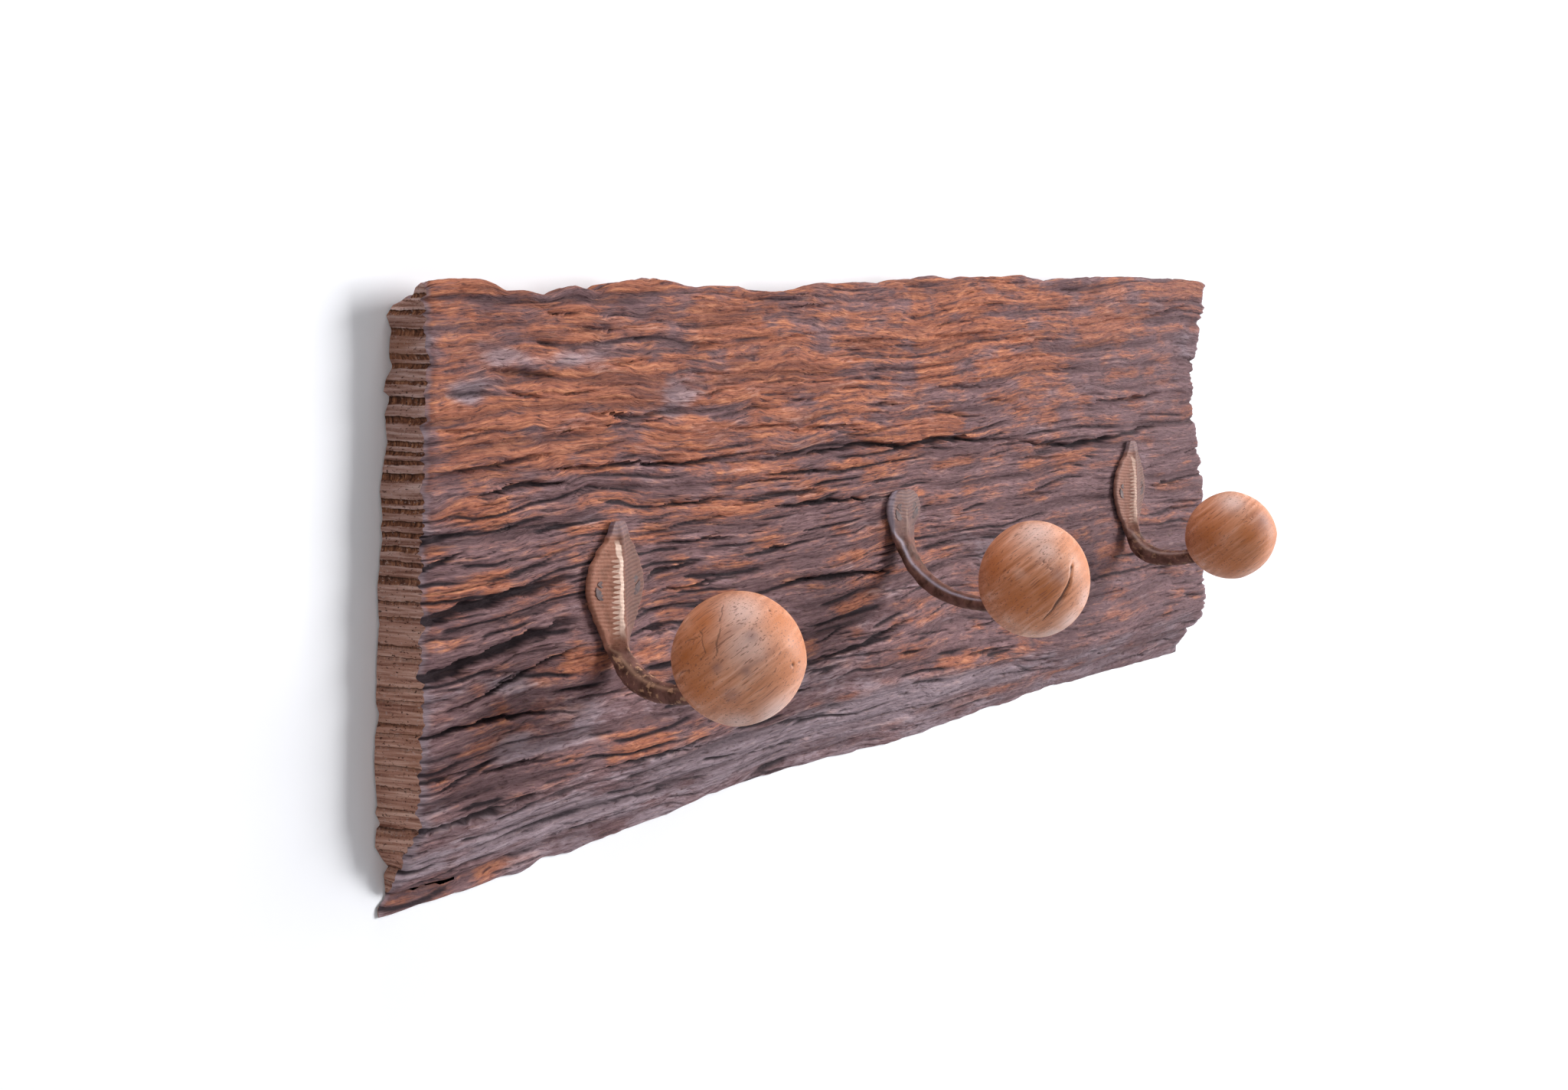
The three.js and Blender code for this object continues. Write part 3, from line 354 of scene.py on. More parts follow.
def crevices(along, grain, size, seed):
    """Spindle-shaped gaps between parallel slivers, each of which opens and closes along its length."""
    pitch, depth, length, rarity, width, darkness = size
    place = grain / pitch + 0.4 * noise(along / (7 * pitch), grain / (2.6 * pitch), seed)
    line = np.round(place)
    distance = np.abs(place - line)
    local = noise(along / length + 0.37 * line, line, seed + 1)
    region = 0.5 * noise(along / 45, grain / 13, seed + 2) - 0.12 * fade(grain, *BEVEL_CALM)
    region = region + 0.3 * fade(-along, -170, -90) * fade(grain, 52, 66) - 0.12 * fade(along, *RIGHT_CALM)
    opening = fade(local + region, rarity, rarity + 0.5)
    gap = np.clip(1 - distance / (width * (0.25 + 0.75 * opening)), 0, 1) ** 0.8 * opening
    rounding = (1 - 2 * distance) ** 2 * (0.2 + 0.8 * opening)
    return depth * (0.4 * rounding + 0.75 * gap), gap * darkness


def wandering_grain(along, down, grain):
    """The place across the grain, made to wander most in the restless wood of the upper left."""
    restless = 0.35 + 0.65 * fade(-along, -260, -120) * fade(-down, -90, -50)
    wander = 1.5 * noise(along / 21, down / 12, 38) + 0.7 * noise(along / 9, down / 5, 33)
    return grain + restless * wander + 0.18 * noise(along / 4, down / 2.4, 34)


print(len(CREVICES), "sets of crevices, one every", [size[0] for size in CREVICES], "mm")

# %% [markdown]
# The relief of the face is worked out as a depth below the planed surface. The crevices and some fine
# fibres are added to the ropes, and then come the fissures. The arris next to each sawn end is worn away
# in a frayed line. Besides the depth, every point keeps a few masks between 0 and 1 for the colours.

# %% Relief of the face
ARRIS_WIDTH = 1.8
ARRIS_DEPTH = 0.9


def worn_arris(down, inset):
    """How worn the arris is, from 0 to 1. Inset is the distance from the nearer sawn end."""
    level = np.zeros_like(down)
    frayed = ARRIS_WIDTH * (1 + 0.7 * noise(down / 1.9, level, 46) + 0.3 * noise(down / 6, level, 49))
    return np.clip(1 - inset / np.maximum(frayed, 0.3), 0, 1)


def face_relief(along, down, inset):
    """Depth in millimetres, the crack, hollow and worn masks, and the place across the grain."""
    grain = down + grain_swing(along, down)
    relief, furrow = ropes(along, down, grain)
    crack = 0.4 * fade(furrow, 0.6, 1)
    fibre = wandering_grain(along, down, grain)
    for number, size in enumerate(CREVICES):
        deeper, darker = crevices(along, fibre, size, 40 + 5 * number)
        relief = relief + deeper * (1 - 0.35 * fade(relief, 1.2, 2.6))
        crack = np.maximum(crack, darker)
    relief = relief + 0.12 * noise(along / 6, fibre / 0.9, 36)
    relief = relief + 0.08 * noise(along / 2.6, fibre / 1.2, 37)
    hollow = fade(relief, 0.6, 2.4)
    cuts = np.zeros_like(relief)
    for number, fissure in enumerate(FISSURES + small_fissures()):
        cut_fissure(fissure, number, along, down, cuts, crack)
    cuts = cuts * (0.4 + 0.6 * fade(inset, 0.5, 6))
    crack = crack * (0.62 + 0.38 * fade(down, 40, 62)) * (1 - 0.2 * fade(along, *RIGHT_CALM))
    relief = np.maximum(relief, 0.45 * relief + cuts) * uncut(along, down)
    worn = worn_arris(down, inset)
    relief = relief + worn**1.3 * ARRIS_DEPTH
    return np.maximum(relief, 0), crack, hollow, worn, fibre


print("The arris is worn away for about", ARRIS_WIDTH, "mm")

# %% [markdown]
# Two more masks give the wood's colour. Orange heartwood shows in patches, most of them in the upper
# half. Elsewhere sun and rain have bleached the wood to a lavender grey, and on the bevel that grey is partly
# painted light. A patch is an oval with a soft edge, and layered noise that is stretched along the grain
# breaks it up.

# %% Patches of colour
PATCH_STRENGTH = 0.6
RUST_FALL = 1.1
# Each patch is the place along and down of its middle, its half length and half height, and its strength.
RUST_PATCHES = [
    (14, -4, 18, 2.5, 0.9), (55, 6, 22, 5, 0.8), (100, -4, 14, 3, 0.9), (48, 31, 30, 5, 0.8),
    (90, 26, 32, 7, 0.75), (146, 9, 20, 7, 1.1), (165, 28, 18, 5, 0.85), (122, 43, 24, 5, 0.95),
    (166, 43, 20, 5, 0.95), (72, 41, 32, 4, 0.7), (22, 41, 22, 4, 0.6), (24, 57, 16, 5, 0.5),
    (16, 79, 20, 3.5, 0.75), (135, 68, 36, 5, 0.6), (42, 122, 20, 3, 0.6), (101, 138, 14, 3, 0.7),
    (70, 108, 24, 3, 0.45), (12, 167.5, 26, 4, 1.3), (45, 166, 16, 3, 0.9), (195, 28, 34, 5, 0.95),
    (232, 16, 18, 4, 0.6), (300, 7, 52, 12, 0.7), (333, 28, 14, 3.5, 0.9), (277, 50, 26, 4, 0.85),
    (226, 107, 14, 4, 0.8), (260, 119, 18, 2.5, 0.6), (300, 136, 30, 3, 0.8), (305, 156, 55, 2.5, 0.9),
    (310, 80, 16, 6, 0.5), (208, 131, 14, 3, 0.5), (365, 29, 24, 5, 0.85), (424, 16, 28, 6, 0.85),
    (482, 0, 44, 4, 0.85), (371, 50, 10, 3, 0.9), (388, 68, 46, 5, 0.6), (467, 65, 10, 2.5, 0.7),
    (457, 92, 18, 4, 0.4), (360, 82, 20, 3, 0.5), (425, 155, 80, 3, 0.85), (433, 136, 14, 2.5, 0.7),
    (500, 133, 12, 2.5, 0.6), (425, 108, 18, 4, 0.5),
]
BLEACHED_PATCHES = [
    (26, 13, 14, 6), (17, 25, 10, 5), (62, 17, 16, 3), (118, 30, 12, 5), (55, 125, 45, 9), (30, 108, 20, 5),
    (60, 156, 50, 5), (170, 152, 60, 6), (300, 147, 60, 4), (215, 136, 48, 10), (505, 25, 14, 6),
    (330, 96, 40, 6), (240, 70, 30, 4), (150, 146, 40, 5), (190, 128, 40, 5), (250, 150, 60, 5),
]


def reach(patch, along, down):
    """The square of the distance from an oval's middle, which is 1 on its edge."""
    place, height, half_length, half_height = patch
    return ((along - place) / half_length) ** 2 + ((down - height) / half_height) ** 2


def rust_of(along, down):
    """How much of the orange heartwood shows, from 0 to 1."""
    total = 0.3 + 0.18 * fade(-down, -75, -15)
    for *patch, strength in RUST_PATCHES:
        total = total + PATCH_STRENGTH * strength * np.exp(-RUST_FALL * reach(patch, along, down))
    total = total - 0.3 * fade(down, 140, 150) - 0.1 * fade(along, 200, 420)
    total = total + 0.34 * layered(along / 24, down / 4.5, 51)
    return np.clip(total + 0.26 * layered(along / 9, down / 4.5, 55), 0, 1)


def bleach_of(along, down, inset):
    """How far the wood has turned to a lavender grey, from 0 to 1: by sun and rain, and on the bevel partly
    as painted light.
    """
    # Below the crease the bevel turns greyer and paler, partly weathering and partly painted light.
    total = 0.08 + 0.5 * fade(down, 136, 148) + 0.5 * np.clip(1 - inset / 3, 0, 1)
    total = total - 0.7 * fade(down, 160, 164) * fade(-along, -60, -30)
    for patch in BLEACHED_PATCHES:
        total = total + PATCH_STRENGTH * np.exp(-reach(patch, along, down))
    return np.clip(total + 0.5 * layered(along / 17, down / 5, 57), 0, 1)


print(len(RUST_PATCHES), "patches of orange heartwood and", len(BLEACHED_PATCHES), "of grey")

# %% [markdown]
# The sawn end isn't flat either. A coarse saw left level ridges across the thickness, the old cracks show
# as deeper grooves, and the end steps back towards the wall where wood has broken out.

# %% Relief of the ends
# Each groove has a place down the end, a width and a depth.
END_GROOVES = [
    (4, 0.9, 0.8), (9, 0.6, 0.6), (16, 1.3, 1.5), (22, 0.6, 0.8), (32, 0.8, 0.9), (44, 0.6, 0.7),
    (52, 0.5, 0.6), (65, 0.8, 1.3), (72.5, 0.9, 1.5), (91, 0.6, 0.6), (109, 0.6, 0.6), (115, 0.5, 0.6),
    (122, 0.6, 0.6), (128, 0.6, 0.6), (88, 1, 1.4), (104, 1.1, 1.4), (145, 1, 1.4),
]
# The left end's edge at the wall, as (down, millimetres to the right).
LEFT_BACK = [
    (-14, 8), (-1, 5.9), (1, 3.3), (3, 1.3), (7, 3.3), (9.5, 2.6), (14.5, 2), (17.5, 3.2), (20.8, 0.2),
    (24, -0.6), (25, 1.6), (27.2, 1.2), (30.3, -0.5), (38, 0.4), (43, -1.4), (51.3, -3.3), (58.8, -2.4),
    (61, -3.4), (64, -2.9), (70, -4.1), (77.6, -5.4), (88, -5.2), (99, -6.6), (109.5, -7.4), (113, -6.1),
    (119, -8.1), (127.5, -8.8), (138.4, -8), (140.4, -9), (144, -6.9), (144.7, -8.9), (150, -9.4),
    (153.8, -6.7), (156.5, -4.2), (158.3, -6.2), (165, -5.5), (167.4, -9.2), (176, -8.6),
]
# The dark bands that the saw left, as the places down the end where each starts and stops.
SAW_BANDS = [
    (-12, -11.5), (-3, -2.2), (1.5, 2.5), (6.6, 8.4), (13.6, 15.2), (16.2, 17.4), (21, 21.6), (25.2, 27.2),
    (30.6, 32.4), (37.6, 39), (40.3, 41.4), (42.7, 43.9), (46.2, 48), (53.2, 54.6), (55.8, 57), (59.3, 60.8),
    (62.5, 63.8), (66.3, 67.8), (70.4, 71.7), (74.7, 76.6), (81.4, 82), (86, 86.3), (93.6, 94.6), (97, 97.3),
    (105.3, 106.2), (109, 109.3), (115.4, 116.1), (117.8, 118.5), (122, 122.3), (127, 127.8), (133, 133.3),
    (139, 139.3), (144.4, 146.6), (151, 151.3), (156, 157), (160, 160.4), (166, 166.4), (190, 191),
]
# The right end isn't seen, so its bands and grooves are those of the left end, moved down.
RIGHT_BAND_SHIFT = 5.3
RIGHT_GROOVE_SHIFT = 7
BAND_DEPTH = 0.85


def saw_phase(depth, down, side):
    """The count of saw bands down the end. Its fraction is under a half on a shelf and over it in a band."""
    height = down + 0.3 * noise(depth / 6, down / 9, 61 + side)
    height = height + 0.12 * noise(depth / 1.5, down / 2, 68) + RIGHT_BAND_SHIFT * side
    counts = 0.5 + 0.5 * np.arange(2 * len(SAW_BANDS))
    return np.interp(height, np.ravel(SAW_BANDS), counts)


def end_relief(depth, down, side):
    """How far a point of an end lies inside it, in millimetres. Depth is the distance in from the face."""
    share = np.clip(depth / PLANK_THICKNESS, 0, 1)
    rough = 0.2 + 0.8 * fade(100 - down, 0, 45)
    relief = BAND_DEPTH * rough * fade(saw_phase(depth, down, side) % 1, 0.42, 0.56)
    relief = relief + 0.16 * noise(depth / 1.3, down / 0.8, 63 + side)
    relief = relief + 0.12 * noise(depth / 5, down / 0.5, 65 + side)
    for place, width, deep in END_GROOVES:
        place = place + RIGHT_GROOVE_SHIFT * side
        relief = relief + deep * np.exp(-(((down - place) / width) ** 2))
    if side == 0:
        back = follow(LEFT_BACK, down) - follow(LEFT_END, down)
    else:
        back = 2.2 * layered(down / 9, depth / 30, 64)
    return relief * (1 - 0.8 * share**1.5) + share**1.3 * back


print("The left end steps back by up to", max(place for _, place in LEFT_BACK), "mm")

# %% [markdown]
# The skin of the plank is one grid: stations along it, and rows from the top of the back over the top
# slope, down the face and round the bevel to the bottom of the back. Stations lie closer on the left,
# which is nearest to the camera. The corners are rounded by smoothing the rows, and every point then
# moves inwards along its normal by the relief.

# %% Skin of the plank
STATIONS = 214
CROWDING = 0.25
SLOPE_ROWS = 20
FACE_ROWS = 306
BEVEL_ROWS = 48
CORNER_PASSES = 10
NORMAL_PASSES = 90
SLOPE_BULGE = 2
TOP_LOSS = 0.9
END_REACH, END_EASE = 24, 1.5
BACK_REACH = 2.5


def smooth_rows(values, passes):
    """Blends every row with the two beside it, again and again. The first and last rows stay."""
    for _ in range(passes):
        values[1:-1] = (values[:-2] + 2 * values[1:-1] + values[2:]) / 4


def plank_grid():
    """The smooth skin: arrays of station, depth behind the face, down, and place down the grain."""
    share = np.linspace(0, 1, STATIONS)
    station = PLANK_LENGTH * ((1 - CROWDING) * share + CROWDING * share**2)
    top, crease, bottom = (follow(edge, station) for edge in (TOP_EDGE, CREASE, BOTTOM_EDGE))
    level = np.zeros_like(station)
    ragged = 0.25 * noise(station / 4, level, 71) + 0.4 * noise(station / 11, level, 72)
    top, bottom = top + ragged - TOP_LOSS, bottom + ragged
    slope = np.arange(SLOPE_ROWS)[:, None] / SLOPE_ROWS
    face = np.arange(FACE_ROWS)[:, None] / FACE_ROWS
    bevel = np.arange(BEVEL_ROWS + 1)[:, None] / BEVEL_ROWS
    depth = PLANK_THICKNESS * (np.vstack([1 - slope, 0 * face, bevel]) + level)
    on_slope = top + TOP_SLOPE * (1 - slope) - SLOPE_BULGE * np.sin(math.pi * slope)
    on_face = top + (crease - top) * face
    on_bevel = crease + (bottom - crease) * bevel
    down = np.vstack([on_slope, on_face, on_bevel])
    grain = np.vstack([top - PLANK_THICKNESS * (1 - slope), on_face, on_bevel])
    smooth_rows(depth, CORNER_PASSES)
    smooth_rows(down, CORNER_PASSES)
    return station + 0 * depth, depth, down, grain


def end_outline(down, side):
    """How far an end stands to the right of its nominal line."""
    return follow(RIGHT_END if side else LEFT_END, down)


def inward_normals(points):
    """Directions into the wood, smoothed down the rows so that the carving never folds over itself."""
    inward = np.cross(np.gradient(points, axis=1), np.gradient(points, axis=0))
    inward /= np.linalg.norm(inward, axis=-1, keepdims=True)
    smooth_rows(inward, NORMAL_PASSES)
    return inward / np.linalg.norm(inward, axis=-1, keepdims=True)


def plank_skin():
    """The carved skin in millimetres, and the masks of its points."""
    station, depth, down, grain = plank_grid()
    gaps = (station, PLANK_LENGTH - station)
    near_left, near_right = (np.clip(1 - gap / END_REACH, 0, 1) ** END_EASE for gap in gaps)
    along = station + near_left * end_outline(down, 0) + near_right * end_outline(down, 1)
    smooth = np.stack([along - PLANK_LENGTH / 2, depth - PLANK_THICKNESS, DATUM - down], axis=-1)
    inset = np.minimum(*gaps)
    found = face_relief(along.ravel(), grain.ravel(), inset.ravel())
    relief, crack, hollow, worn, fibre = (value.reshape(along.shape) for value in found)
    relief = relief * fade(PLANK_THICKNESS - depth, 0, BACK_REACH)
    points = smooth + inward_normals(smooth) * relief[..., None]
    points[..., 1] = np.clip(points[..., 1], -PLANK_THICKNESS, 0)
    points[0, :, 1] = points[-1, :, 1] = 0
    behind, below = points[..., 1] + PLANK_THICKNESS, DATUM - points[..., 2]
    points[..., 0] += near_left * end_relief(behind, below, 0) - near_right * end_relief(behind, below, 1)
    left_half = station < PLANK_LENGTH / 2
    band = np.where(left_half, saw_phase(behind, below, 0), saw_phase(behind, below, 1))
    rust, bleach = rust_of(along, grain), bleach_of(along, grain, inset)
    return points, np.stack([crack, hollow, worn, rust, bleach, band, fibre], axis=-1)


skin, skin_masks = plank_skin()
skin_low, skin_high = skin.min(axis=(0, 1)).round(1), skin.max(axis=(0, 1)).round(1)
print("The skin has", skin.shape[0] * skin.shape[1], "points, from", skin_low, "to", skin_high)

# %% [markdown]
# The two sawn ends and the flat back close the skin. Each is filled by a Delaunay triangulation that keeps
# the exact points of its border. The ends have points every millimetre or less and are carved by their own
# relief. The back has a recess for each hanger plate, with a deeper pocket for the head of the wall screw.

# %% Fill for a flat region
# The triangulation covers everything inside the convex hull. What isn't wanted is dropped afterwards.
WHOLE_HULL = 0
TOLERANCE = 1e-7
GRID_JITTER, GRID_MARGIN = 0.2, 0.45
NO_POINTS = np.empty((0, 2))


def inside(points, loop):
    """Which points lie inside a closed loop, by counting crossings."""
    found = np.zeros(len(points), bool)
    x, y = points[:, 0], points[:, 1]
    for (x1, y1), (x2, y2) in zip(loop, np.roll(loop, -1, axis=0)):
        crosses = (y1 > y) != (y2 > y)
        if y1 != y2:
            found ^= crosses & (x < (x2 - x1) * (y - y1) / (y2 - y1) + x1)
    return found


def grid_inside(loop, pitch, seed):
    """A jittered grid of points inside a loop, none of them close to its border."""
    low, high = loop.min(axis=0), loop.max(axis=0)
    columns, rows = (np.arange(a + pitch / 2, b, pitch) for a, b in zip(low, high))
    points = np.stack(np.meshgrid(columns, rows), axis=-1).reshape(-1, 2)
    points = points + np.random.default_rng(seed).uniform(-GRID_JITTER, GRID_JITTER, points.shape) * pitch
    points = points[inside(points, loop)]
    gaps = np.min(np.linalg.norm(points[:, None] - loop[None], axis=2), axis=1)
    return points[gaps > GRID_MARGIN * pitch]


def fill(outer, holes=(), extra=NO_POINTS):
    """Triangles of a region with holes. The points are numbered outer, then holes, then extra."""
    loops = [np.asarray(outer)] + [np.asarray(hole) for hole in holes]
    points = np.vstack([*loops, extra])
    edges, first = [], 0
    for loop in loops:
        edges += [(first + i, first + (i + 1) % len(loop)) for i in range(len(loop))]
        first += len(loop)
    result = delaunay_2d_cdt([Vector(point) for point in points], edges, [], WHOLE_HULL, TOLERANCE, True)
    sources = [source[0] for source in result[3]]
    triangles = np.array([[sources[corner] for corner in face] for face in result[2]])
    middles = points[triangles].mean(axis=1)
    keep = inside(middles, loops[0])
    for hole in loops[1:]:
        keep &= ~inside(middles, hole)
    triangles = triangles[keep]
    a, b, c = (points[triangles[:, i]] for i in range(3))
    clockwise = (b - a)[:, 0] * (c - a)[:, 1] - (b - a)[:, 1] * (c - a)[:, 0] < 0
    triangles[clockwise] = triangles[clockwise][:, ::-1]
    return triangles


square = np.array([(0, 0), (10, 0), (10, 10), (0, 10)], float)
print("A square with a hole fills with", len(fill(square, [square * 0.4 + 3])), "triangles")

# %% [markdown]
# Each recess in the back is a rounded slot for a hanger plate. In its floor are a long pocket, which takes
# the head of the wall screw, and two holes for the plate's own screws.

# %% Recesses in the back
HANGER_MIDDLES = (-135, 135)
HANGER_LEVEL = 42.5
RECESS_WIDTH = 18.6
RECESS_HEIGHT = 46.6
RECESS_CORNER = 3
RECESS_DEPTH = 2.4
POCKET_WIDTH = 12.5
POCKET_LOW = -4
POCKET_HIGH = 7
POCKET_DEPTH = 8.9
SCREW_HOLE = 3.6
SCREW_HOLE_DEPTH = 10.9
SCREW_LEVELS = (-18.75, 18.75)
CORNER_STEPS, ROUND_STEPS = 6, 12


def arc(centre, radius, start, end, steps):
    """Points on an arc from one angle to another, in degrees."""
    angles = np.radians(np.linspace(start, end, steps))
    return np.stack([centre[0] + radius * np.cos(angles), centre[1] + radius * np.sin(angles)], axis=1)


def recess_loop(middle):
    """The rounded outline of a hanger plate's recess."""
    x, z = RECESS_WIDTH / 2 - RECESS_CORNER, RECESS_HEIGHT / 2 - RECESS_CORNER
    corners = [(x, z, 0), (-x, z, 90), (-x, -z, 180), (x, -z, 270)]
    arcs = [arc((i, j), RECESS_CORNER, turn, turn + 90, CORNER_STEPS) for i, j, turn in corners]
    return np.vstack(arcs) + (middle, HANGER_LEVEL)


def pocket_loop(middle):
    """The outline of the pocket, a slot with round ends."""
    radius = POCKET_WIDTH / 2
    upper = arc((0, POCKET_HIGH), radius, 0, 180, ROUND_STEPS)
    lower = arc((0, POCKET_LOW), radius, 180, 360, ROUND_STEPS)
    return np.vstack([upper, lower]) + (middle, HANGER_LEVEL)


def screw_loops(middle):
    """The round outlines of the two screw holes."""
    last = 360 - 360 / ROUND_STEPS
    places = [(middle, HANGER_LEVEL + level) for level in SCREW_LEVELS]
    return [arc(place, SCREW_HOLE / 2, 0, last, ROUND_STEPS) for place in places]


print("Each recess is", RECESS_DEPTH, "mm deep and its pocket", POCKET_DEPTH, "mm")

# %% [markdown]
# The plank is put together as lists of points and faces, and neighbouring parts share their border points.
# Twelve edges stay open, round a slit of a few millimetres at the lower left corner of the back. The skin's
# masks are stored as attributes, one number for each point, so that the material can read them: crack
# darkens a fissure, hollow a furrow, worn pales the arris, rust shows the orange heartwood, bleach the grey
# of old wood and, on the bevel, painted light, band counts the saw's ridges down the ends, and fibre is the
# place across the grain.

# %% Points and faces of the plank
MASKS = ("crack", "hollow", "worn", "rust", "bleach", "band", "fibre")
FACE_SLOT, END_SLOT, BACK_SLOT = 0, 1, 2


class PlankMesh:
    """Collects points, their masks and the faces of the plank."""

    def __init__(self):
        self.points, self.masks, self.faces, self.finishes = [], [], [], []

    def add_points(self, points, masks=None):
        first = sum(len(block) for block in self.points)
        self.points.append(np.asarray(points, float))
        self.masks.append(np.zeros((len(points), len(MASKS))) if masks is None else masks)
        return np.arange(first, first + len(points))

    def add_faces(self, faces, finish):
        self.faces += [list(map(int, face)) for face in faces]
        self.finishes += [finish] * len(faces)

    def add_wall(self, rim, floor, finish):
        following_rim, following_floor = np.roll(rim, -1), np.roll(floor, -1)
        self.add_faces(np.stack([rim, following_rim, following_floor, floor], axis=1), finish)


print("Every point of the plank has", len(MASKS), "masks")

# %% [markdown]
# A sawn end is filled between a column of the skin and a row of new points along the edge of the back. The
# extra points inside are what its relief is carved with.

# %% Sawn ends
END_PITCHES = (0.72, 1.1)


def end_places(y, z, side):
    """Place in x of points on a sawn end."""
    behind, below = y + PLANK_THICKNESS, DATUM - z
    relief = end_relief(behind, below, side)
    nominal = PLANK_LENGTH / 2 if side else -PLANK_LENGTH / 2
    return nominal + end_outline(below, side) + (-relief if side else relief)


def band_masks(points, side):
    """Masks for points of an end, which only need the count of saw ridges."""
    masks = np.zeros((len(points), len(MASKS)))
    masks[:, MASKS.index("band")] = saw_phase(points[:, 1] + PLANK_THICKNESS, DATUM - points[:, 2], side)
    return masks


def end_edge(start, end, pitch):
    """Points strictly between two corners of the back, about a pitch apart."""
    count = max(1, int(np.linalg.norm(end - start) / pitch))
    shares = np.arange(1, count)[:, None] / count
    return start + (end - start) * shares


def add_end(plank, column, corner_points, side):
    """Fills one sawn end between a column of the skin and the edge of the back."""
    top_corner, bottom_corner = skin[0, column], skin[-1, column]
    pitch = END_PITCHES[side]
    edge = end_edge(bottom_corner, top_corner, pitch)
    edge[:, 0] = end_places(edge[:, 1], edge[:, 2], side)
    edge_indices = plank.add_points(edge, band_masks(edge, side))
    loop_indices = np.concatenate([corner_points[:, column], edge_indices])
    loop = np.vstack([skin[:, column], edge])[:, 1:]
    spots = grid_inside(loop, pitch, 81 + side)
    extra = np.column_stack([end_places(spots[:, 0], spots[:, 1], side), spots])
    extra_indices = plank.add_points(extra, band_masks(extra, side))
    triangles = np.concatenate([loop_indices, extra_indices])[fill(loop, [], spots)]
    plank.add_faces(triangles if side else triangles[:, ::-1], END_SLOT)
    return edge_indices, edge


print("The ends are filled with points", END_PITCHES, "mm apart")

# %% [markdown]
# The back closes the plank. Each recess goes in as a chain of walls and floors, and the back is filled
# round the two rims that are left open.

# %% Back and whole plank
BACK_PITCH = 9
BACK_SEED = 83
RECESS_CLEARANCE = 1.25


def add_recess(plank, middle):
    """Cuts the recess of one hanger plate, and returns its rim for the back to leave open."""
    recess, pocket, screws = recess_loop(middle), pocket_loop(middle), screw_loops(middle)

    def ring(loop, depth):
        return plank.add_points(np.column_stack([loop[:, 0], np.full(len(loop), -depth), loop[:, 1]]))

    rim, floor = ring(recess, 0), ring(recess, RECESS_DEPTH)
    plank.add_wall(rim, floor, BACK_SLOT)
    mouths = [ring(loop, RECESS_DEPTH) for loop in [pocket, *screws]]
    triangles = np.concatenate([floor, *mouths])[fill(recess, [pocket, *screws])]
    plank.add_faces(triangles[:, ::-1], BACK_SLOT)
    depths = [POCKET_DEPTH] + [SCREW_HOLE_DEPTH] * len(screws)
    for loop, mouth, depth in zip([pocket, *screws], mouths, depths):
        base = ring(loop, depth)
        plank.add_wall(mouth, base, BACK_SLOT)
        plank.add_faces(base[fill(loop)][:, ::-1], BACK_SLOT)
    return rim, recess


def back_points(outline, holes):
    """Points spread over the back, clear of its recesses."""
    points = grid_inside(outline, BACK_PITCH, BACK_SEED)
    for hole in holes:
        middle = hole.mean(axis=0)
        points = points[~inside(points, (hole - middle) * RECESS_CLEARANCE + middle)]
    return points


def build_plank():
    """The whole plank: its skin, two ends and a back with two recesses."""
    plank = PlankMesh()
    grid = plank.add_points(skin.reshape(-1, 3), skin_masks.reshape(-1, len(MASKS))).reshape(skin.shape[:2])
    quads = np.stack([grid[:-1, :-1], grid[1:, :-1], grid[1:, 1:], grid[:-1, 1:]], axis=-1).reshape(-1, 4)
    plank.add_faces(quads, FACE_SLOT)
    left_edge, left_points = add_end(plank, 0, grid, 0)
    right_edge, right_points = add_end(plank, -1, grid, 1)
    outer = np.concatenate([grid[0, ::-1], left_edge[::-1], grid[-1], right_edge])
    outline = np.vstack([skin[0, ::-1], left_points[::-1], skin[-1], right_points])[:, [0, 2]]
    rims, holes = zip(*(add_recess(plank, middle) for middle in HANGER_MIDDLES))
    extra = back_points(outline, holes)
    inner = plank.add_points(np.column_stack([extra[:, 0], np.zeros(len(extra)), extra[:, 1]]))
    triangles = np.concatenate([outer, *rims, inner])[fill(outline, holes, extra)]
    plank.add_faces(triangles[:, ::-1], BACK_SLOT)
    return plank


plank = build_plank()
print("The plank has", len(plank.faces), "faces")

# %% [markdown]
# Every finish is a tree of nodes. A few short helpers keep the trees readable: one adds a node and sets
# its inputs by name, and others do the sums. The trees that shape the castings and light the surround are
# built with the same helpers further down.

# %% Node helpers
class NodeMaker:
    """Adds nodes to a tree. Their inputs are values or other nodes' outputs."""

    def __init__(self, tree):
        self.tree, self.nodes, self.links = tree, tree.nodes, tree.links

    def add(self, kind, inputs=None, **settings):
        node = self.nodes.new(kind)
        for name, value in settings.items():
            setattr(node, name, value)
        for name, value in (inputs or {}).items():
            self.put(node.inputs[name], value)
        return node

    def put(self, socket, value):
        if isinstance(value, bpy.types.NodeSocket):
            self.links.new(value, socket)
        else:
            socket.default_value = value

    def math(self, operation, *values):
        node = self.add("ShaderNodeMath", operation=operation)
        for socket, value in zip(node.inputs, values):
            self.put(socket, value)
        return node.outputs[0]

    def plus(self, first, second):
        return self.math("ADD", first, second)

    def minus(self, first, second):
        return self.math("SUBTRACT", first, second)

    def times(self, first, second):
        return self.math("MULTIPLY", first, second)


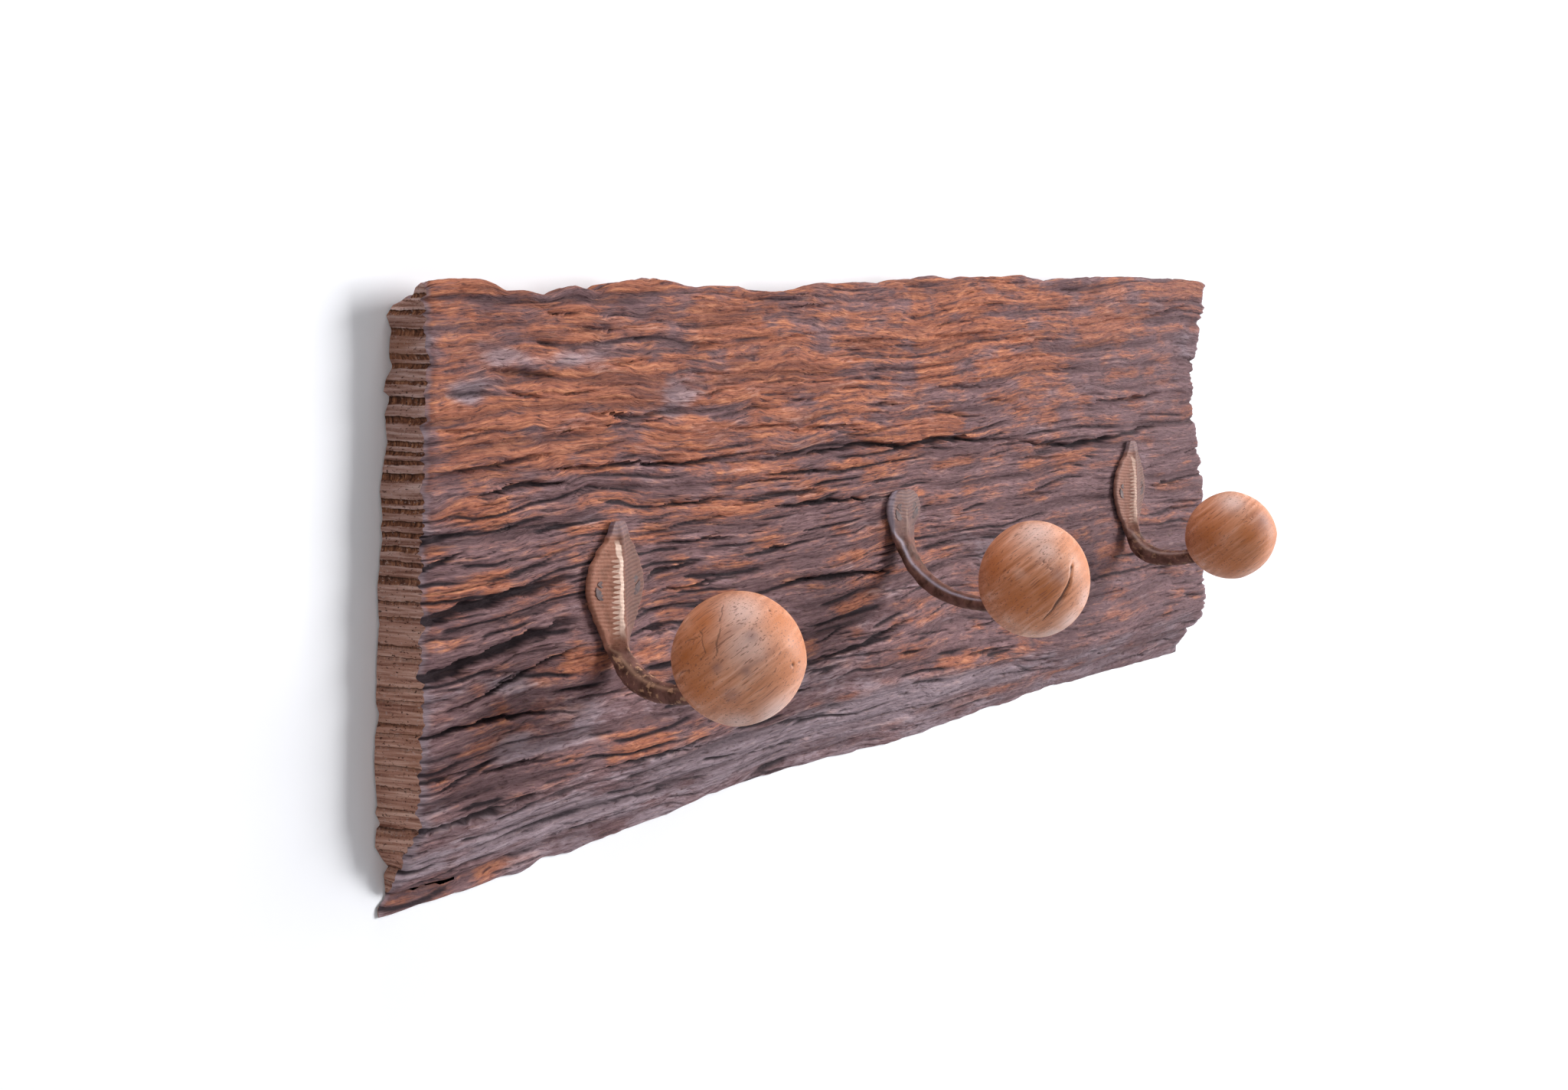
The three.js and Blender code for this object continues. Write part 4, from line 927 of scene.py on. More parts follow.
class Finish(NodeMaker):
    """A procedural material."""

    def __init__(self, name):
        self.material = bpy.data.materials.new(name)
        self.material.use_nodes = True
        super().__init__(self.material.node_tree)
        self.shader = self.nodes["Principled BSDF"]
        self.object_place = self.add("ShaderNodeTexCoord").outputs["Object"]

    def surface(self, **inputs):
        for name, value in inputs.items():
            self.put(self.shader.inputs[name.replace("_", " ")], value)

    def mask(self, name):
        return self.add("ShaderNodeAttribute", attribute_name=name).outputs["Fac"]

    def noise(self, scale, stretch=(1, 1, 1), detail=4, rough=0.55, place=None, distortion=0.0):
        mapping = self.add("ShaderNodeMapping", {"Vector": place or self.object_place, "Scale": stretch})
        values = {"Vector": mapping.outputs[0], "Scale": scale, "Detail": detail, "Roughness": rough}
        return self.add("ShaderNodeTexNoise", {**values, "Distortion": distortion}).outputs["Fac"]

    def level(self, value, low, high, start=0.0, end=1.0):
        names = ("Value", "From Min", "From Max", "To Min", "To Max")
        values = dict(zip(names, (value, low, high, start, end)))
        return self.add("ShaderNodeMapRange", values, interpolation_type="SMOOTHSTEP").outputs[0]

    def ramp(self, value, stops):
        node = self.add("ShaderNodeValToRGB", {"Fac": value})
        elements = node.color_ramp.elements
        for place, _ in stops[2:]:
            elements.new(place)
        for element, (place, _) in zip(elements, stops):
            element.position = place
        for element, (_, colour) in zip(elements, stops):
            element.color = (*colour, 1)
        return node.outputs[0]

    def mix(self, share, first, second):
        node = self.add("ShaderNodeMix", data_type="RGBA")
        for socket, value in zip((node.inputs[0], node.inputs[6], node.inputs[7]), (share, first, second)):
            self.put(socket, (*value, 1) if isinstance(value, tuple) else value)
        return node.outputs[2]

    def coats(self, colour, *coats):
        """Lays coats over a colour, one on another. Each is a share and a colour."""
        for share, coat in coats:
            colour = self.mix(share, colour, coat)
        return colour

    def bump(self, height, strength, distance):
        values = {"Height": height, "Strength": strength, "Distance": distance * MM}
        return self.add("ShaderNodeBump", values).outputs[0]


def count_nodes(material):
    """Prints how many nodes a finish has, and returns it."""
    print(material.name, "has", len(material.node_tree.nodes), "nodes")
    return material


print("A finish can add", ", ".join(name for name in vars(Finish) if not name.startswith("_")))

# %% [markdown]
# The weathered face turns from rusty orange, where fresh heartwood shows, through brown to a purple grey
# where the sun and rain have bleached it; on the bevel that grey is partly painted light. Painted shade
# darkens the face towards the right end and the bottom. All of its noise is laid out by the distance along
# the board and the place across the grain, so that colour follows the swinging fibres. The longest streaks
# run for several centimetres and the dashes for a few millimetres. They also lift the surface as a fine bump.

# %% Weathered face finish
WIDE_GRAIN = (11, 130, 0)
ALONG_GRAIN = (34, 620, 0)
DASHES = (210, 1250, 0)
FINE_GRAIN = (130, 3000, 0)
# Each ramp of colours runs from the dark streaks to the pale ones.
HEARTWOOD = [
    (0.36, (0.14, 0.05, 0.041)), (0.45, (0.29, 0.103, 0.068)), (0.54, (0.44, 0.163, 0.096)),
    (0.64, (0.67, 0.28, 0.155)),
]
PURPLE_BROWN = [
    (0.34, (0.085, 0.047, 0.053)), (0.45, (0.175, 0.098, 0.104)), (0.54, (0.25, 0.146, 0.154)),
    (0.66, (0.365, 0.235, 0.245)),
]
LAVENDER = [(0.34, (0.18, 0.138, 0.163)), (0.5, (0.324, 0.251, 0.284)), (0.66, (0.483, 0.393, 0.435))]
# Painted shade, which darkens the face towards the right end and the bottom.
FAR_SHADE = (0.16, 0.105, 0.12)
DARK_VEIN = (0.09, 0.045, 0.05)
DARK_DASH = (0.055, 0.025, 0.025)
PALE_FIBRE = (0.58, 0.373, 0.29)
FURROW_SHADE = (0.069, 0.039, 0.044)
WORN_GREY = (0.345, 0.255, 0.283)
INK = (0.023, 0.015, 0.019)
MATT = 0.12


def weathered_face():
    """Orange, purple brown and grey wood, in streaks that follow the fibres."""
    finish = Finish("weathered_face")
    x, _, z = finish.add("ShaderNodeSeparateXYZ", {"Vector": finish.object_place}).outputs
    across = finish.times(finish.mask("fibre"), MM)
    place = finish.add("ShaderNodeCombineXYZ", {"X": x, "Y": across}).outputs[0]
    wide = finish.noise(1, WIDE_GRAIN, 3, place=place, distortion=0.4)
    streaks = finish.noise(1, ALONG_GRAIN, 4, 0.6, place=place, distortion=0.4)
    dashes = finish.noise(1, DASHES, 3, 0.6, place=place, distortion=0.5)
    fibres = finish.noise(1, FINE_GRAIN, 2, place=place)
    hollow, crack = finish.mask("hollow"), finish.mask("crack")
    tone = finish.plus(finish.times(streaks, 0.6), finish.times(dashes, 0.4))
    warm, cold, grey = (finish.ramp(tone, stops) for stops in (HEARTWOOD, PURPLE_BROWN, LAVENDER))
    swing = finish.times(finish.minus(tone, 0.5), 1.7)
    rust = finish.minus(finish.plus(finish.mask("rust"), swing), finish.times(hollow, 0.25))
    bleach = finish.plus(finish.mask("bleach"), swing)
    far = finish.minus(x, finish.times(z, 0.6))
    colour = finish.coats(
        cold,
        (finish.level(rust, 0.15, 0.68), warm),
        (finish.level(bleach, 0.3, 0.95, 0, 0.75), grey),
        # Painted shade towards the right end and the bottom.
        (finish.level(far, 0, 0.27, 0, 0.42), FAR_SHADE),
        (finish.level(wide, 0.5, 0.66, 0, 0.5), DARK_VEIN),
        (finish.level(dashes, 0.42, 0.3, 0, 0.6), DARK_DASH),
        (finish.level(fibres, 0.56, 0.72, 0, 0.22), PALE_FIBRE),
        (finish.level(hollow, 0.35, 1, 0, 0.4), FURROW_SHADE),
        (finish.level(finish.mask("worn"), 0.1, 0.8, 0, 0.5), WORN_GREY),
        (finish.level(crack, 0.25, 0.85, 0, 0.95), INK),
    )
    roughness = finish.level(streaks, 0.3, 0.7, 0.75, 0.95)
    rise = finish.plus(finish.plus(streaks, dashes), finish.times(fibres, 0.4))
    finish.surface(Base_Color=colour, Roughness=roughness, Specular_IOR_Level=MATT)
    finish.surface(Normal=finish.bump(rise, 1.0, 0.7))
    return finish.material


face_finish = count_nodes(weathered_face())

# %% [markdown]
# On the sawn end, pale shelves alternate with dark bands that the saw left. The fraction of the band mask
# tells one from the other, and its steepest place is the burnt edge between them. Lower down the end is
# plainer. Open pores speckle all of it.

# %% Sawn end finish
SHELF = [(0.35, (0.235, 0.113, 0.083)), (0.5, (0.445, 0.26, 0.218)), (0.65, (0.63, 0.43, 0.395))]
BAND = [(0.35, (0.058, 0.022, 0.013)), (0.52, (0.195, 0.076, 0.043)), (0.68, (0.4, 0.18, 0.096))]
PLAIN_END = [(0.34, (0.24, 0.103, 0.072)), (0.48, (0.48, 0.235, 0.17)), (0.66, (0.7, 0.42, 0.33))]
BLACK, GREY, WHITE = (0, 0, 0), (0.5, 0.5, 0.5), (1, 1, 1)
IN_BAND = [(0, WHITE), (0.06, BLACK), (0.49, BLACK), (0.53, WHITE)]
BAND_EDGE = [(0.5, BLACK), (0.54, WHITE), (0.62, GREY), (0.75, BLACK)]
BURNT = (0.022, 0.009, 0.006)
RED_PATCH = (0.34, 0.145, 0.083)
DARK_PORE = (0.035, 0.017, 0.012)
PALE_GRAIN = (0.56, 0.41, 0.37)


def sawn_end():
    """End grain with dark saw bands, which fade out down the end."""
    finish = Finish("sawn_end")
    place = finish.math("FRACT", finish.mask("band"))
    height = finish.add("ShaderNodeSeparateXYZ", {"Vector": finish.object_place}).outputs["Z"]
    lines = finish.noise(1, (200, 50, 1100), 4)
    threads = finish.noise(1, (500, 1300, 240), 3)
    pores = finish.noise(1, (1100, 900, 1500), 3)
    patches = finish.noise(75, (1, 0.6, 1), 3)
    banding = finish.times(finish.ramp(place, IN_BAND), finish.level(height, -0.03, 0.02, 0.45, 1))
    colour = finish.coats(
        finish.ramp(lines, SHELF),
        (finish.level(height, 0.03, -0.03, 0.2, 0.9), finish.ramp(lines, PLAIN_END)),
        (banding, finish.ramp(threads, BAND)),
        (finish.times(finish.ramp(place, BAND_EDGE), 0.85), BURNT),
        (finish.level(patches, 0.5, 0.7, 0, 0.55), RED_PATCH),
        (finish.level(pores, 0.6, 0.68, 0, 0.85), DARK_PORE),
        (finish.level(pores, 0.4, 0.3, 0, 0.5), PALE_GRAIN),
    )
    finish.surface(Base_Color=colour, Roughness=0.9, Specular_IOR_Level=MATT)
    finish.surface(Normal=finish.bump(finish.minus(lines, finish.times(pores, 0.8)), 1.0, 0.6))
    return finish.material


end_finish = count_nodes(sawn_end())

# %% [markdown]
# The back was never in the weather, so it is plain brown with soft streaks.

# %% Plain back finish
PLAIN_BROWN = [(0.3, (0.18, 0.083, 0.055)), (0.5, (0.33, 0.166, 0.117)), (0.7, (0.47, 0.262, 0.193))]
DUSTY_STREAK = (0.21, 0.14, 0.14)


def plain_back():
    """Brown wood with long streaks."""
    finish = Finish("plain_back")
    streaks = finish.noise(1, (30, 800, 800), 5)
    wide = finish.noise(1, (11, 150, 150), 3)
    colour = finish.mix(finish.level(wide, 0.4, 0.7, 0, 0.5), finish.ramp(streaks, PLAIN_BROWN), DUSTY_STREAK)
    finish.surface(Base_Color=colour, Roughness=0.8)
    finish.surface(Normal=finish.bump(streaks, 0.8, 0.35))
    return finish.material


back_finish = count_nodes(plain_back())

# %% [markdown]
# A finished piece is a mesh with its place in its points, and its object stays at the origin. One helper
# makes such a mesh, stores its masks, turns its faces outwards and counts its open edges. A closed body
# has none.

# %% Dress the plank
SHARP_ANGLE = math.radians(55)


def make_piece(name, points, faces, materials, finishes=None, masks=None):
    """A mesh object from millimetre points, with outward faces and one number a point for each mask."""
    mesh = bpy.data.meshes.new(name)
    mesh.from_pydata((np.asarray(points) * MM).tolist(), [], faces)
    for material in materials:
        mesh.materials.append(material)
    if finishes is not None:
        mesh.polygons.foreach_set("material_index", finishes)
    for mask, values in (masks or {}).items():
        attribute = mesh.attributes.new(mask, "FLOAT", "POINT")
        attribute.data.foreach_set("value", np.asarray(values, np.float32).ravel())
    mesh.polygons.foreach_set("use_smooth", [True] * len(faces))
    shell = bmesh.new()
    shell.from_mesh(mesh)
    bmesh.ops.recalc_face_normals(shell, faces=shell.faces)
    open_edges = sum(not edge.is_manifold for edge in shell.edges)
    volume = shell.calc_volume(signed=True) / MM**3
    shell.to_mesh(mesh)
    shell.free()
    piece = bpy.data.objects.new(name, mesh)
    bpy.context.collection.objects.link(piece)
    triangles = sum(len(face) - 2 for face in faces)
    print(name, "has", triangles, "triangles,", open_edges, "open edges and", round(volume), "cubic mm")
    return piece


plank_masks = dict(zip(MASKS, np.vstack(plank.masks).T))
plank_finishes = [face_finish, end_finish, back_finish]
board = make_piece(
    "weathered_board", np.vstack(plank.points), plank.faces, plank_finishes, plank.finishes, plank_masks
)
board.data.set_sharp_from_angle(angle=SHARP_ANGLE)
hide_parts("board")
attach(board, "root")

# %% [markdown]
# Each hook is one casting: a flat-backed plate with a raised spine, drawn out into a round bar that curls
# out and up into its knob. It is lofted through rings of points, down the plate and then along a Bezier
# curve. The sizes repeat those of the construction model, so the casting fills the same space.

# %% Hook sizes
FACE_Y = -PLANK_THICKNESS
SEAT_GAP = 0.3
STEM_IN_KNOB = 4
# A plate's rows say how far down they are, then the width, edge, ridge and lean as shares of the hook's own.
LEAF_PLATE = [
    (0, 0.15, 0.9, 0.41, 1), (0.04, 0.25, 1, 0.5, 1), (0.09, 0.3, 1, 0.57, 1), (0.16, 0.4, 1, 0.74, 0.8),
    (0.28, 0.67, 1, 0.93, 0.3), (0.41, 0.88, 1, 0.98, 0), (0.53, 0.98, 1, 1, 0), (0.64, 1, 1, 1, 0),
    (0.75, 0.92, 1, 1, 0), (0.875, 0.77, 1, 1.02, 0), (1, 0.6, 1.1, 1.09, 0),
]
SHIELD_PLATE = [
    (0, 0.38, 0.86, 0.8, 0), (0.09, 0.63, 0.93, 0.9, 0), (0.26, 0.84, 1, 0.95, 0), (0.5, 0.97, 1, 1, 0),
    (0.7, 1, 1, 1, 0), (1, 0.93, 1, 1, 0),
]
# A stem's rows say how far along they are, then the width and thickness as shares of the bar.
LEAF = {
    "plate": LEAF_PLATE, "length": 32, "width": 29.2, "edge": 2, "ridge": 4.6, "lean": 2, "bar": 6.2,
    "stem": [(0, 2.03, 0.87), (0.12, 1.52, 1), (0.35, 1.35, 1.26), (1, 1, 1)], "ribs": 1,
}
SHIELD = {
    "plate": SHIELD_PLATE, "length": 10, "width": 21, "edge": 2.8, "ridge": 3.4, "lean": 0, "bar": 5.2,
    "stem": [(0, 3, 0.69), (0.2, 2.04, 0.92), (0.5, 1.35, 1.19), (1, 1, 1)], "ribs": 0.35,
}
# The last two numbers of each hook set how strong its painted highlight line and painted glints are, and how
# bluish its grey and its painted rim highlight are.
HOOKS = {
    "left": {
        **LEAF, "x": -179.5, "top": 16, "neck": 4, "reach": 45.6, "drop": 38.4, "knob": (40, 40),
        "root_swing": 0.263, "entry_swing": 0.285, "angle": 13, "offset": 0.195,
        "seed": 1, "gilt": 1, "cool": 0,
    },
    "middle": {
        **SHIELD, "x": -6.5, "top": 12.5, "neck": 3, "reach": 53.5, "drop": 29.3, "knob": (40.6, 38.4),
        "root_swing": 0.336, "entry_swing": 0.336, "angle": 1, "offset": 0.234,
        "seed": 2, "gilt": 0.1, "cool": 1,
    },
    "right": {
        **LEAF, "x": 181.5, "top": 18.5, "neck": 1.5, "reach": 46.6, "drop": 37.2, "knob": (35.8, 37.4),
        "root_swing": 0.3, "entry_swing": 0.365, "angle": 12, "offset": 0.156,
        "seed": 3, "gilt": 0.5, "cool": 0.3,
    },
}
print(len(HOOKS), "hooks, at", [hook["x"] for hook in HOOKS.values()])

# %% [markdown]
# Two sections are all that the casting needs. The plate's is flat behind and rises to a spine, and the
# bar's is an oval. Both have their points in the same order, so one can turn into the other.

# %% Sections of a hook
RING_POINTS = 56
BAR_START = -90 - 360 * 0.19


def eased(table, place, column):
    """A value between the rows of a table, eased so that it has no corners."""
    places = [row[0] for row in table]
    index = int(np.clip(np.searchsorted(places, place) - 1, 0, len(table) - 2))
    share = np.clip((place - places[index]) / (places[index + 1] - places[index]), 0, 1)
    share = share * share * (3 - 2 * share)
    return table[index][column] * (1 - share) + table[index + 1][column] * share


def plate_section(half_width, edge, ridge):
    """Points round a flat-backed section that rises to a spine, from one side of its back to the other."""
    rise = ridge - edge
    flank = [
        (0.97, 0), (1, 0.35 * edge), (0.985, 0.8 * edge), (0.93, edge), (0.62, edge + 0.13 * rise),
        (0.3, edge + 0.47 * rise), (0.07, edge + 0.97 * rise),
    ]
    outline = np.array([(-x, y) for x, y in flank] + [(0, ridge)] + flank[::-1]) * (half_width, 1)
    closed = np.vstack([outline, outline[:1]])
    run = np.concatenate([[0], np.cumsum(np.linalg.norm(np.diff(closed, axis=0), axis=1))])
    places = (np.arange(RING_POINTS) + 0.5) / RING_POINTS * run[-1]
    return np.stack([np.interp(places, run, closed[:, column]) for column in (0, 1)], axis=1)


def bar_section(width, thickness):
    """Points round an oval bar, in the same order as the plate's."""
    angle = np.radians(BAR_START) - 2 * math.pi * (np.arange(RING_POINTS) + 0.5) / RING_POINTS
    return np.stack([np.cos(angle) * width / 2, np.sin(angle) * thickness / 2 + thickness / 2], axis=1)


print("Each ring of a hook has", RING_POINTS, "points")

# %% Rings of a hook
PLATE_RINGS = 96
STEM_RINGS = 110
STEM_TRAVEL = 60


def stem_path(hook):
    """The bar's Bezier corners as (out, up), its direction at the knob and the knob's middle."""
    angle = math.radians(hook["angle"])
    run = np.array([math.cos(angle), math.sin(angle)])
    below = np.array([math.sin(angle), -math.cos(angle)])
    radius, offset = sum(hook["knob"]) / 4, hook["offset"] * hook["knob"][0]
    middle = np.array([hook["reach"], -hook["drop"]])
    entry = middle - run * math.sqrt(radius**2 - offset**2) + below * offset
    root_out = SEAT_GAP + hook["bar"] * hook["stem"][0][2] / 2
    root = np.array([root_out, -hook["length"] - hook["neck"]])
    root_pull = root - (0, hook["root_swing"] * hook["reach"])
    entry_pull = entry - run * hook["entry_swing"] * hook["reach"]
    return [root, root_pull, entry_pull, entry], run, middle


def bezier(corners, share):
    """The place on a Bezier curve at a share of it, and the direction there."""
    weights = [(1 - share) ** 3, 3 * share * (1 - share) ** 2, 3 * share**2 * (1 - share), share**3]
    place = sum(weight * corner for weight, corner in zip(weights, corners))
    slopes = [(1 - share) ** 2, 2 * share * (1 - share), share**2]
    run = sum(slope * (b - a) for slope, a, b in zip(slopes, corners, corners[1:]))
    return place, run / np.linalg.norm(run)


def plate_rings(hook, shares):
    """Rings of (across, out, up) points down the plate."""
    rings = []
    for share in shares:
        width, edge, ridge, lean = (eased(hook["plate"], share, column) for column in (1, 2, 3, 4))
        section = plate_section(width * hook["width"] / 2, edge * hook["edge"], ridge * hook["ridge"])
        across, out_place = section[:, 0] + lean * hook["lean"], section[:, 1] + SEAT_GAP
        rings.append(np.column_stack([across, out_place, np.full(RING_POINTS, -share * hook["length"])]))
    return rings


def stem_rings(hook, shares):
    """Rings along the bar, from the plate's section to an oval, with a last one inside the knob."""
    corners, run, _ = stem_path(hook)
    rings = []
    for share in shares:
        place, along = bezier(corners, share)
        outward = np.array([-along[1], along[0]])
        width, thickness = (hook["bar"] * eased(hook["stem"], share, column) for column in (1, 2))
        flat = plate_section(width / 2, min(hook["edge"], thickness / 2), thickness)
        roundness = float(fade(share, -0.05, 0.25))
        section = flat * (1 - roundness) + bar_section(width, thickness) * roundness
        spots = place + np.outer(section[:, 1] - thickness / 2, outward)
        rings.append(np.column_stack([section[:, 0], spots]))
    return rings + [rings[-1] + (0, *(run * STEM_IN_KNOB))]


def hook_rings(hook):
    """All rings of a casting, and for each one how much it is plate and how far down it lies."""
    plate_places, stem_places = np.linspace(0, 1, PLATE_RINGS), np.linspace(0, 1, STEM_RINGS)
    rings = plate_rings(hook, plate_places) + stem_rings(hook, stem_places)
    stem_share = 1 - fade(stem_places, 0, 0.12)
    stem_travel = hook["length"] + hook["neck"] + STEM_TRAVEL * stem_places
    plate_share = np.concatenate([np.ones(PLATE_RINGS), stem_share, stem_share[-1:]])
    travel = np.concatenate([plate_places * hook["length"], stem_travel, stem_travel[-1:] + STEM_IN_KNOB])
    return np.array(rings), plate_share, travel


print("Each hook is lofted through", PLATE_RINGS + STEM_RINGS + 1, "rings")

# %% Smooth casting
# Where the stripe of the painted rim highlight lies round each ring, and its width.
HIGHLIGHT_ON_PLATE, HIGHLIGHT_ON_BAR, HIGHLIGHT_WIDTH = 2.2, 9.5, 1.5


def loft_faces(rings, count):
    """Quads between rings with equal point counts, with a flat cap at each end."""
    quads = [
        (ring * count + side, ring * count + (side + 1) % count,
         (ring + 1) * count + (side + 1) % count, (ring + 1) * count + side)
        for ring in range(rings - 1) for side in range(count)
    ]
    return quads + [list(range(count)), list(range((rings - 1) * count, rings * count))]


def casting_mesh(name, hook):
    """The smooth casting with its masks. Its rim mask, the stripe of a painted highlight, runs up the bar's
    outer left and round the plate's.
    """
    rings, plate_share, travel = hook_rings(hook)
    points = rings.reshape(-1, 3) * (1, -1, 1) + (hook["x"], FACE_Y, hook["top"])
    rim_place = HIGHLIGHT_ON_BAR + (HIGHLIGHT_ON_PLATE - HIGHLIGHT_ON_BAR) * plate_share
    rim = np.exp(-(((np.arange(RING_POINTS) - rim_place[:, None]) / HIGHLIGHT_WIDTH) ** 2))
    masks = {
        "plate": np.repeat(plate_share, RING_POINTS),
        "travel": np.repeat(travel, RING_POINTS),
        "across": (rings[:, :, 0] / (hook["width"] / 2)).ravel(),
        "out": rings[:, :, 1].ravel(),
        "rim": rim.ravel(),
        "gilt": np.full(len(points), hook["gilt"]),
        "cool": np.full(len(points), hook["cool"]),
    }
    return make_piece(name, points, loft_faces(len(rings), RING_POINTS), [], None, masks)


smooth_castings = {name: casting_mesh(f"cast_hook_{name}", hook) for name, hook in HOOKS.items()}

# %% [markdown]
# The castings were cut and hammered before they went dark. Geometry Nodes lay that work on the smooth
# casting: close ribs across the plate, and small facets along the bar. Both are masked, so that the
# plate's back stays flat against the wood. The masks are stored as attributes, which the tree reads.

# %% Chased and hammered surface
class ShapeTree(NodeMaker):
    """A Geometry Nodes tree with named inputs."""

    def __init__(self, name):
        super().__init__(bpy.data.node_groups.new(name, "GeometryNodeTree"))
        self.entry = self.nodes.new("NodeGroupInput")
        self.exit = self.nodes.new("NodeGroupOutput")
        self.tree.interface.new_socket("Geometry", in_out="OUTPUT", socket_type="NodeSocketGeometry")
        self.sockets = {}

    def input(self, name, kind="NodeSocketFloat", value=None):
        socket = self.tree.interface.new_socket(name, in_out="INPUT", socket_type=kind)
        if value is not None:
            socket.default_value = value
        self.sockets[name] = socket
        return self.entry.outputs[name]

    def attribute(self, name):
        node = self.add("GeometryNodeInputNamedAttribute", {"Name": name}, data_type="FLOAT")
        return node.outputs["Attribute"]

    def finish(self, geometry, material):
        realized = self.add("GeometryNodeRealizeInstances", {"Geometry": geometry}).outputs[0]
        coloured = self.add("GeometryNodeSetMaterial", {"Geometry": realized, "Material": material})
        self.put(self.exit.inputs["Geometry"], coloured.outputs[0])


def apply_tree(piece, shape, values):
    """Runs a tree on a piece with the given inputs and keeps the result as a plain mesh."""
    modifier = piece.modifiers.new("made", "NODES")
    modifier.node_group = shape.tree
    for name, value in values.items():
        modifier[shape.sockets[name].identifier] = value
    evaluated = piece.evaluated_get(bpy.context.evaluated_depsgraph_get())
    mesh = bpy.data.meshes.new_from_object(evaluated)
    piece.modifiers.remove(modifier)
    piece.data = mesh


def chased_casting(material):
    """Ribs across the plate and hammer marks along the bar. The ribs' height is kept for the finish, which
    paints a highlight on their crests.
    """
    shape = ShapeTree("chased_casting")
    geometry = shape.input("Casting", "NodeSocketGeometry")
    pitch, rib_height = shape.input("Rib pitch", value=1.2), shape.input("Rib height", value=0.3)
    mark_size, mark_depth = shape.input("Mark size", value=3.0), shape.input("Mark depth", value=0.4)
    plate, travel, out, across = (shape.attribute(name) for name in ("plate", "travel", "out", "across"))
    away = shape.add("ShaderNodeMapRange", {"Value": out, "From Min": 0.8, "From Max": 2.2}).outputs[0]
    wander = shape.add("ShaderNodeTexNoise", {"Scale": 220.0}).outputs["Fac"]
    slant = shape.times(shape.math("ABSOLUTE", across), 1.6)
    phase = shape.math("DIVIDE", shape.plus(shape.plus(travel, slant), wander), pitch)
    wave = shape.math("ABSOLUTE", shape.math("SINE", shape.times(phase, math.pi)))
    wave = shape.math("POWER", wave, 0.7)
    ribs = shape.times(shape.times(wave, rib_height), shape.times(plate, away))
    scale = shape.math("DIVIDE", 1 / MM, mark_size)
    cells = shape.add("ShaderNodeTexVoronoi", {"Scale": scale}).outputs["Distance"]
    marks = shape.times(shape.times(cells, mark_depth), shape.minus(1.0, plate))
    sunk = shape.plus(marks, shape.times(plate, rib_height))
    rise = shape.times(shape.minus(ribs, sunk), MM)
    normal = shape.add("GeometryNodeInputNormal").outputs[0]
    shift = shape.add("ShaderNodeVectorMath", {0: normal, "Scale": rise}, operation="SCALE").outputs[0]
    moved = shape.add("GeometryNodeSetPosition", {"Geometry": geometry, "Offset": shift}).outputs[0]
    bright = {"Geometry": moved, "Name": "bright", "Value": shape.times(shape.times(wave, plate), away)}
    stored = shape.add("GeometryNodeStoreNamedAttribute", bright, data_type="FLOAT", domain="POINT")
    shape.finish(stored.outputs[0], material)
    print(shape.tree.name, "has", len(shape.nodes), "nodes and the inputs", ", ".join(shape.sockets))
    return shape


# %% [markdown]
# The bronze is almost black with age. A painted highlight lies along the left flank of the spine, in a
# pale line with teeth where the ribs cross it. Painted golden glints sit on the bars, and a painted highlight
# runs up the outer left of each bar and round the plates of the middle and right hooks, bluer on the middle
# hook.

# %% Bronze finish
TOOTH_PITCH = 1.55
RIDGE_PLACE = -0.07
# The plate's left flank has the lit patina, and its right flank the same patina in painted shade.
LIT_PATINA = [(0.3, (0.165, 0.062, 0.04)), (0.5, (0.28, 0.113, 0.076)), (0.7, (0.38, 0.175, 0.13))]
SHADED_PATINA = [(0.3, (0.06, 0.029, 0.029)), (0.7, (0.14, 0.072, 0.07))]
STEM_PATINA = [(0.35, (0.075, 0.033, 0.024)), (0.6, (0.2, 0.095, 0.078))]
TIP_GREY = (0.165, 0.112, 0.13)
COOL_GREY = (0.12, 0.078, 0.087)
# Colour of the painted highlight on the rib crests.
RIB_CREST_HIGHLIGHT = (0.44, 0.24, 0.17)
# Colour of the painted golden glints on the bars.
GLINT_GOLD = (0.5, 0.28, 0.17)
# Colours of the painted rim highlight, warm and bluish.
WARM_PAINTED_HIGHLIGHT, COOL_PAINTED_HIGHLIGHT = (0.42, 0.25, 0.17), (0.5, 0.46, 0.56)
# Colour of the painted highlight on the spine's left flank.
PAINTED_HIGHLIGHT_CREAM = (0.95, 0.71, 0.59)
DARK_SPECK = (0.045, 0.026, 0.026)


def painted_highlight_line(finish, across, travel, plate, blotches):
    """Where a painted highlight lies on the spine's left flank: a line with a row of teeth."""
    wander = finish.times(finish.minus(blotches, 0.5), 0.16)
    left = finish.minus(RIDGE_PLACE, finish.plus(across, wander))
    line = finish.level(finish.math("ABSOLUTE", left), 0.07, 0.03)
    step = finish.plus(travel, finish.times(wander, 6))
    tooth = finish.math("ABSOLUTE", finish.math("SINE", finish.times(step, math.pi / TOOTH_PITCH)))
    teeth = finish.level(finish.minus(finish.times(tooth, 0.23), left), 0, 0.04)
    teeth = finish.times(teeth, finish.level(left, -0.04, 0))
    toothed = finish.times(teeth, finish.times(finish.level(travel, 9, 14), 0.65))
    length = finish.times(finish.level(travel, 5, 8), finish.level(travel, 36, 31))
    return finish.times(finish.math("MAXIMUM", line, toothed), finish.times(length, plate))


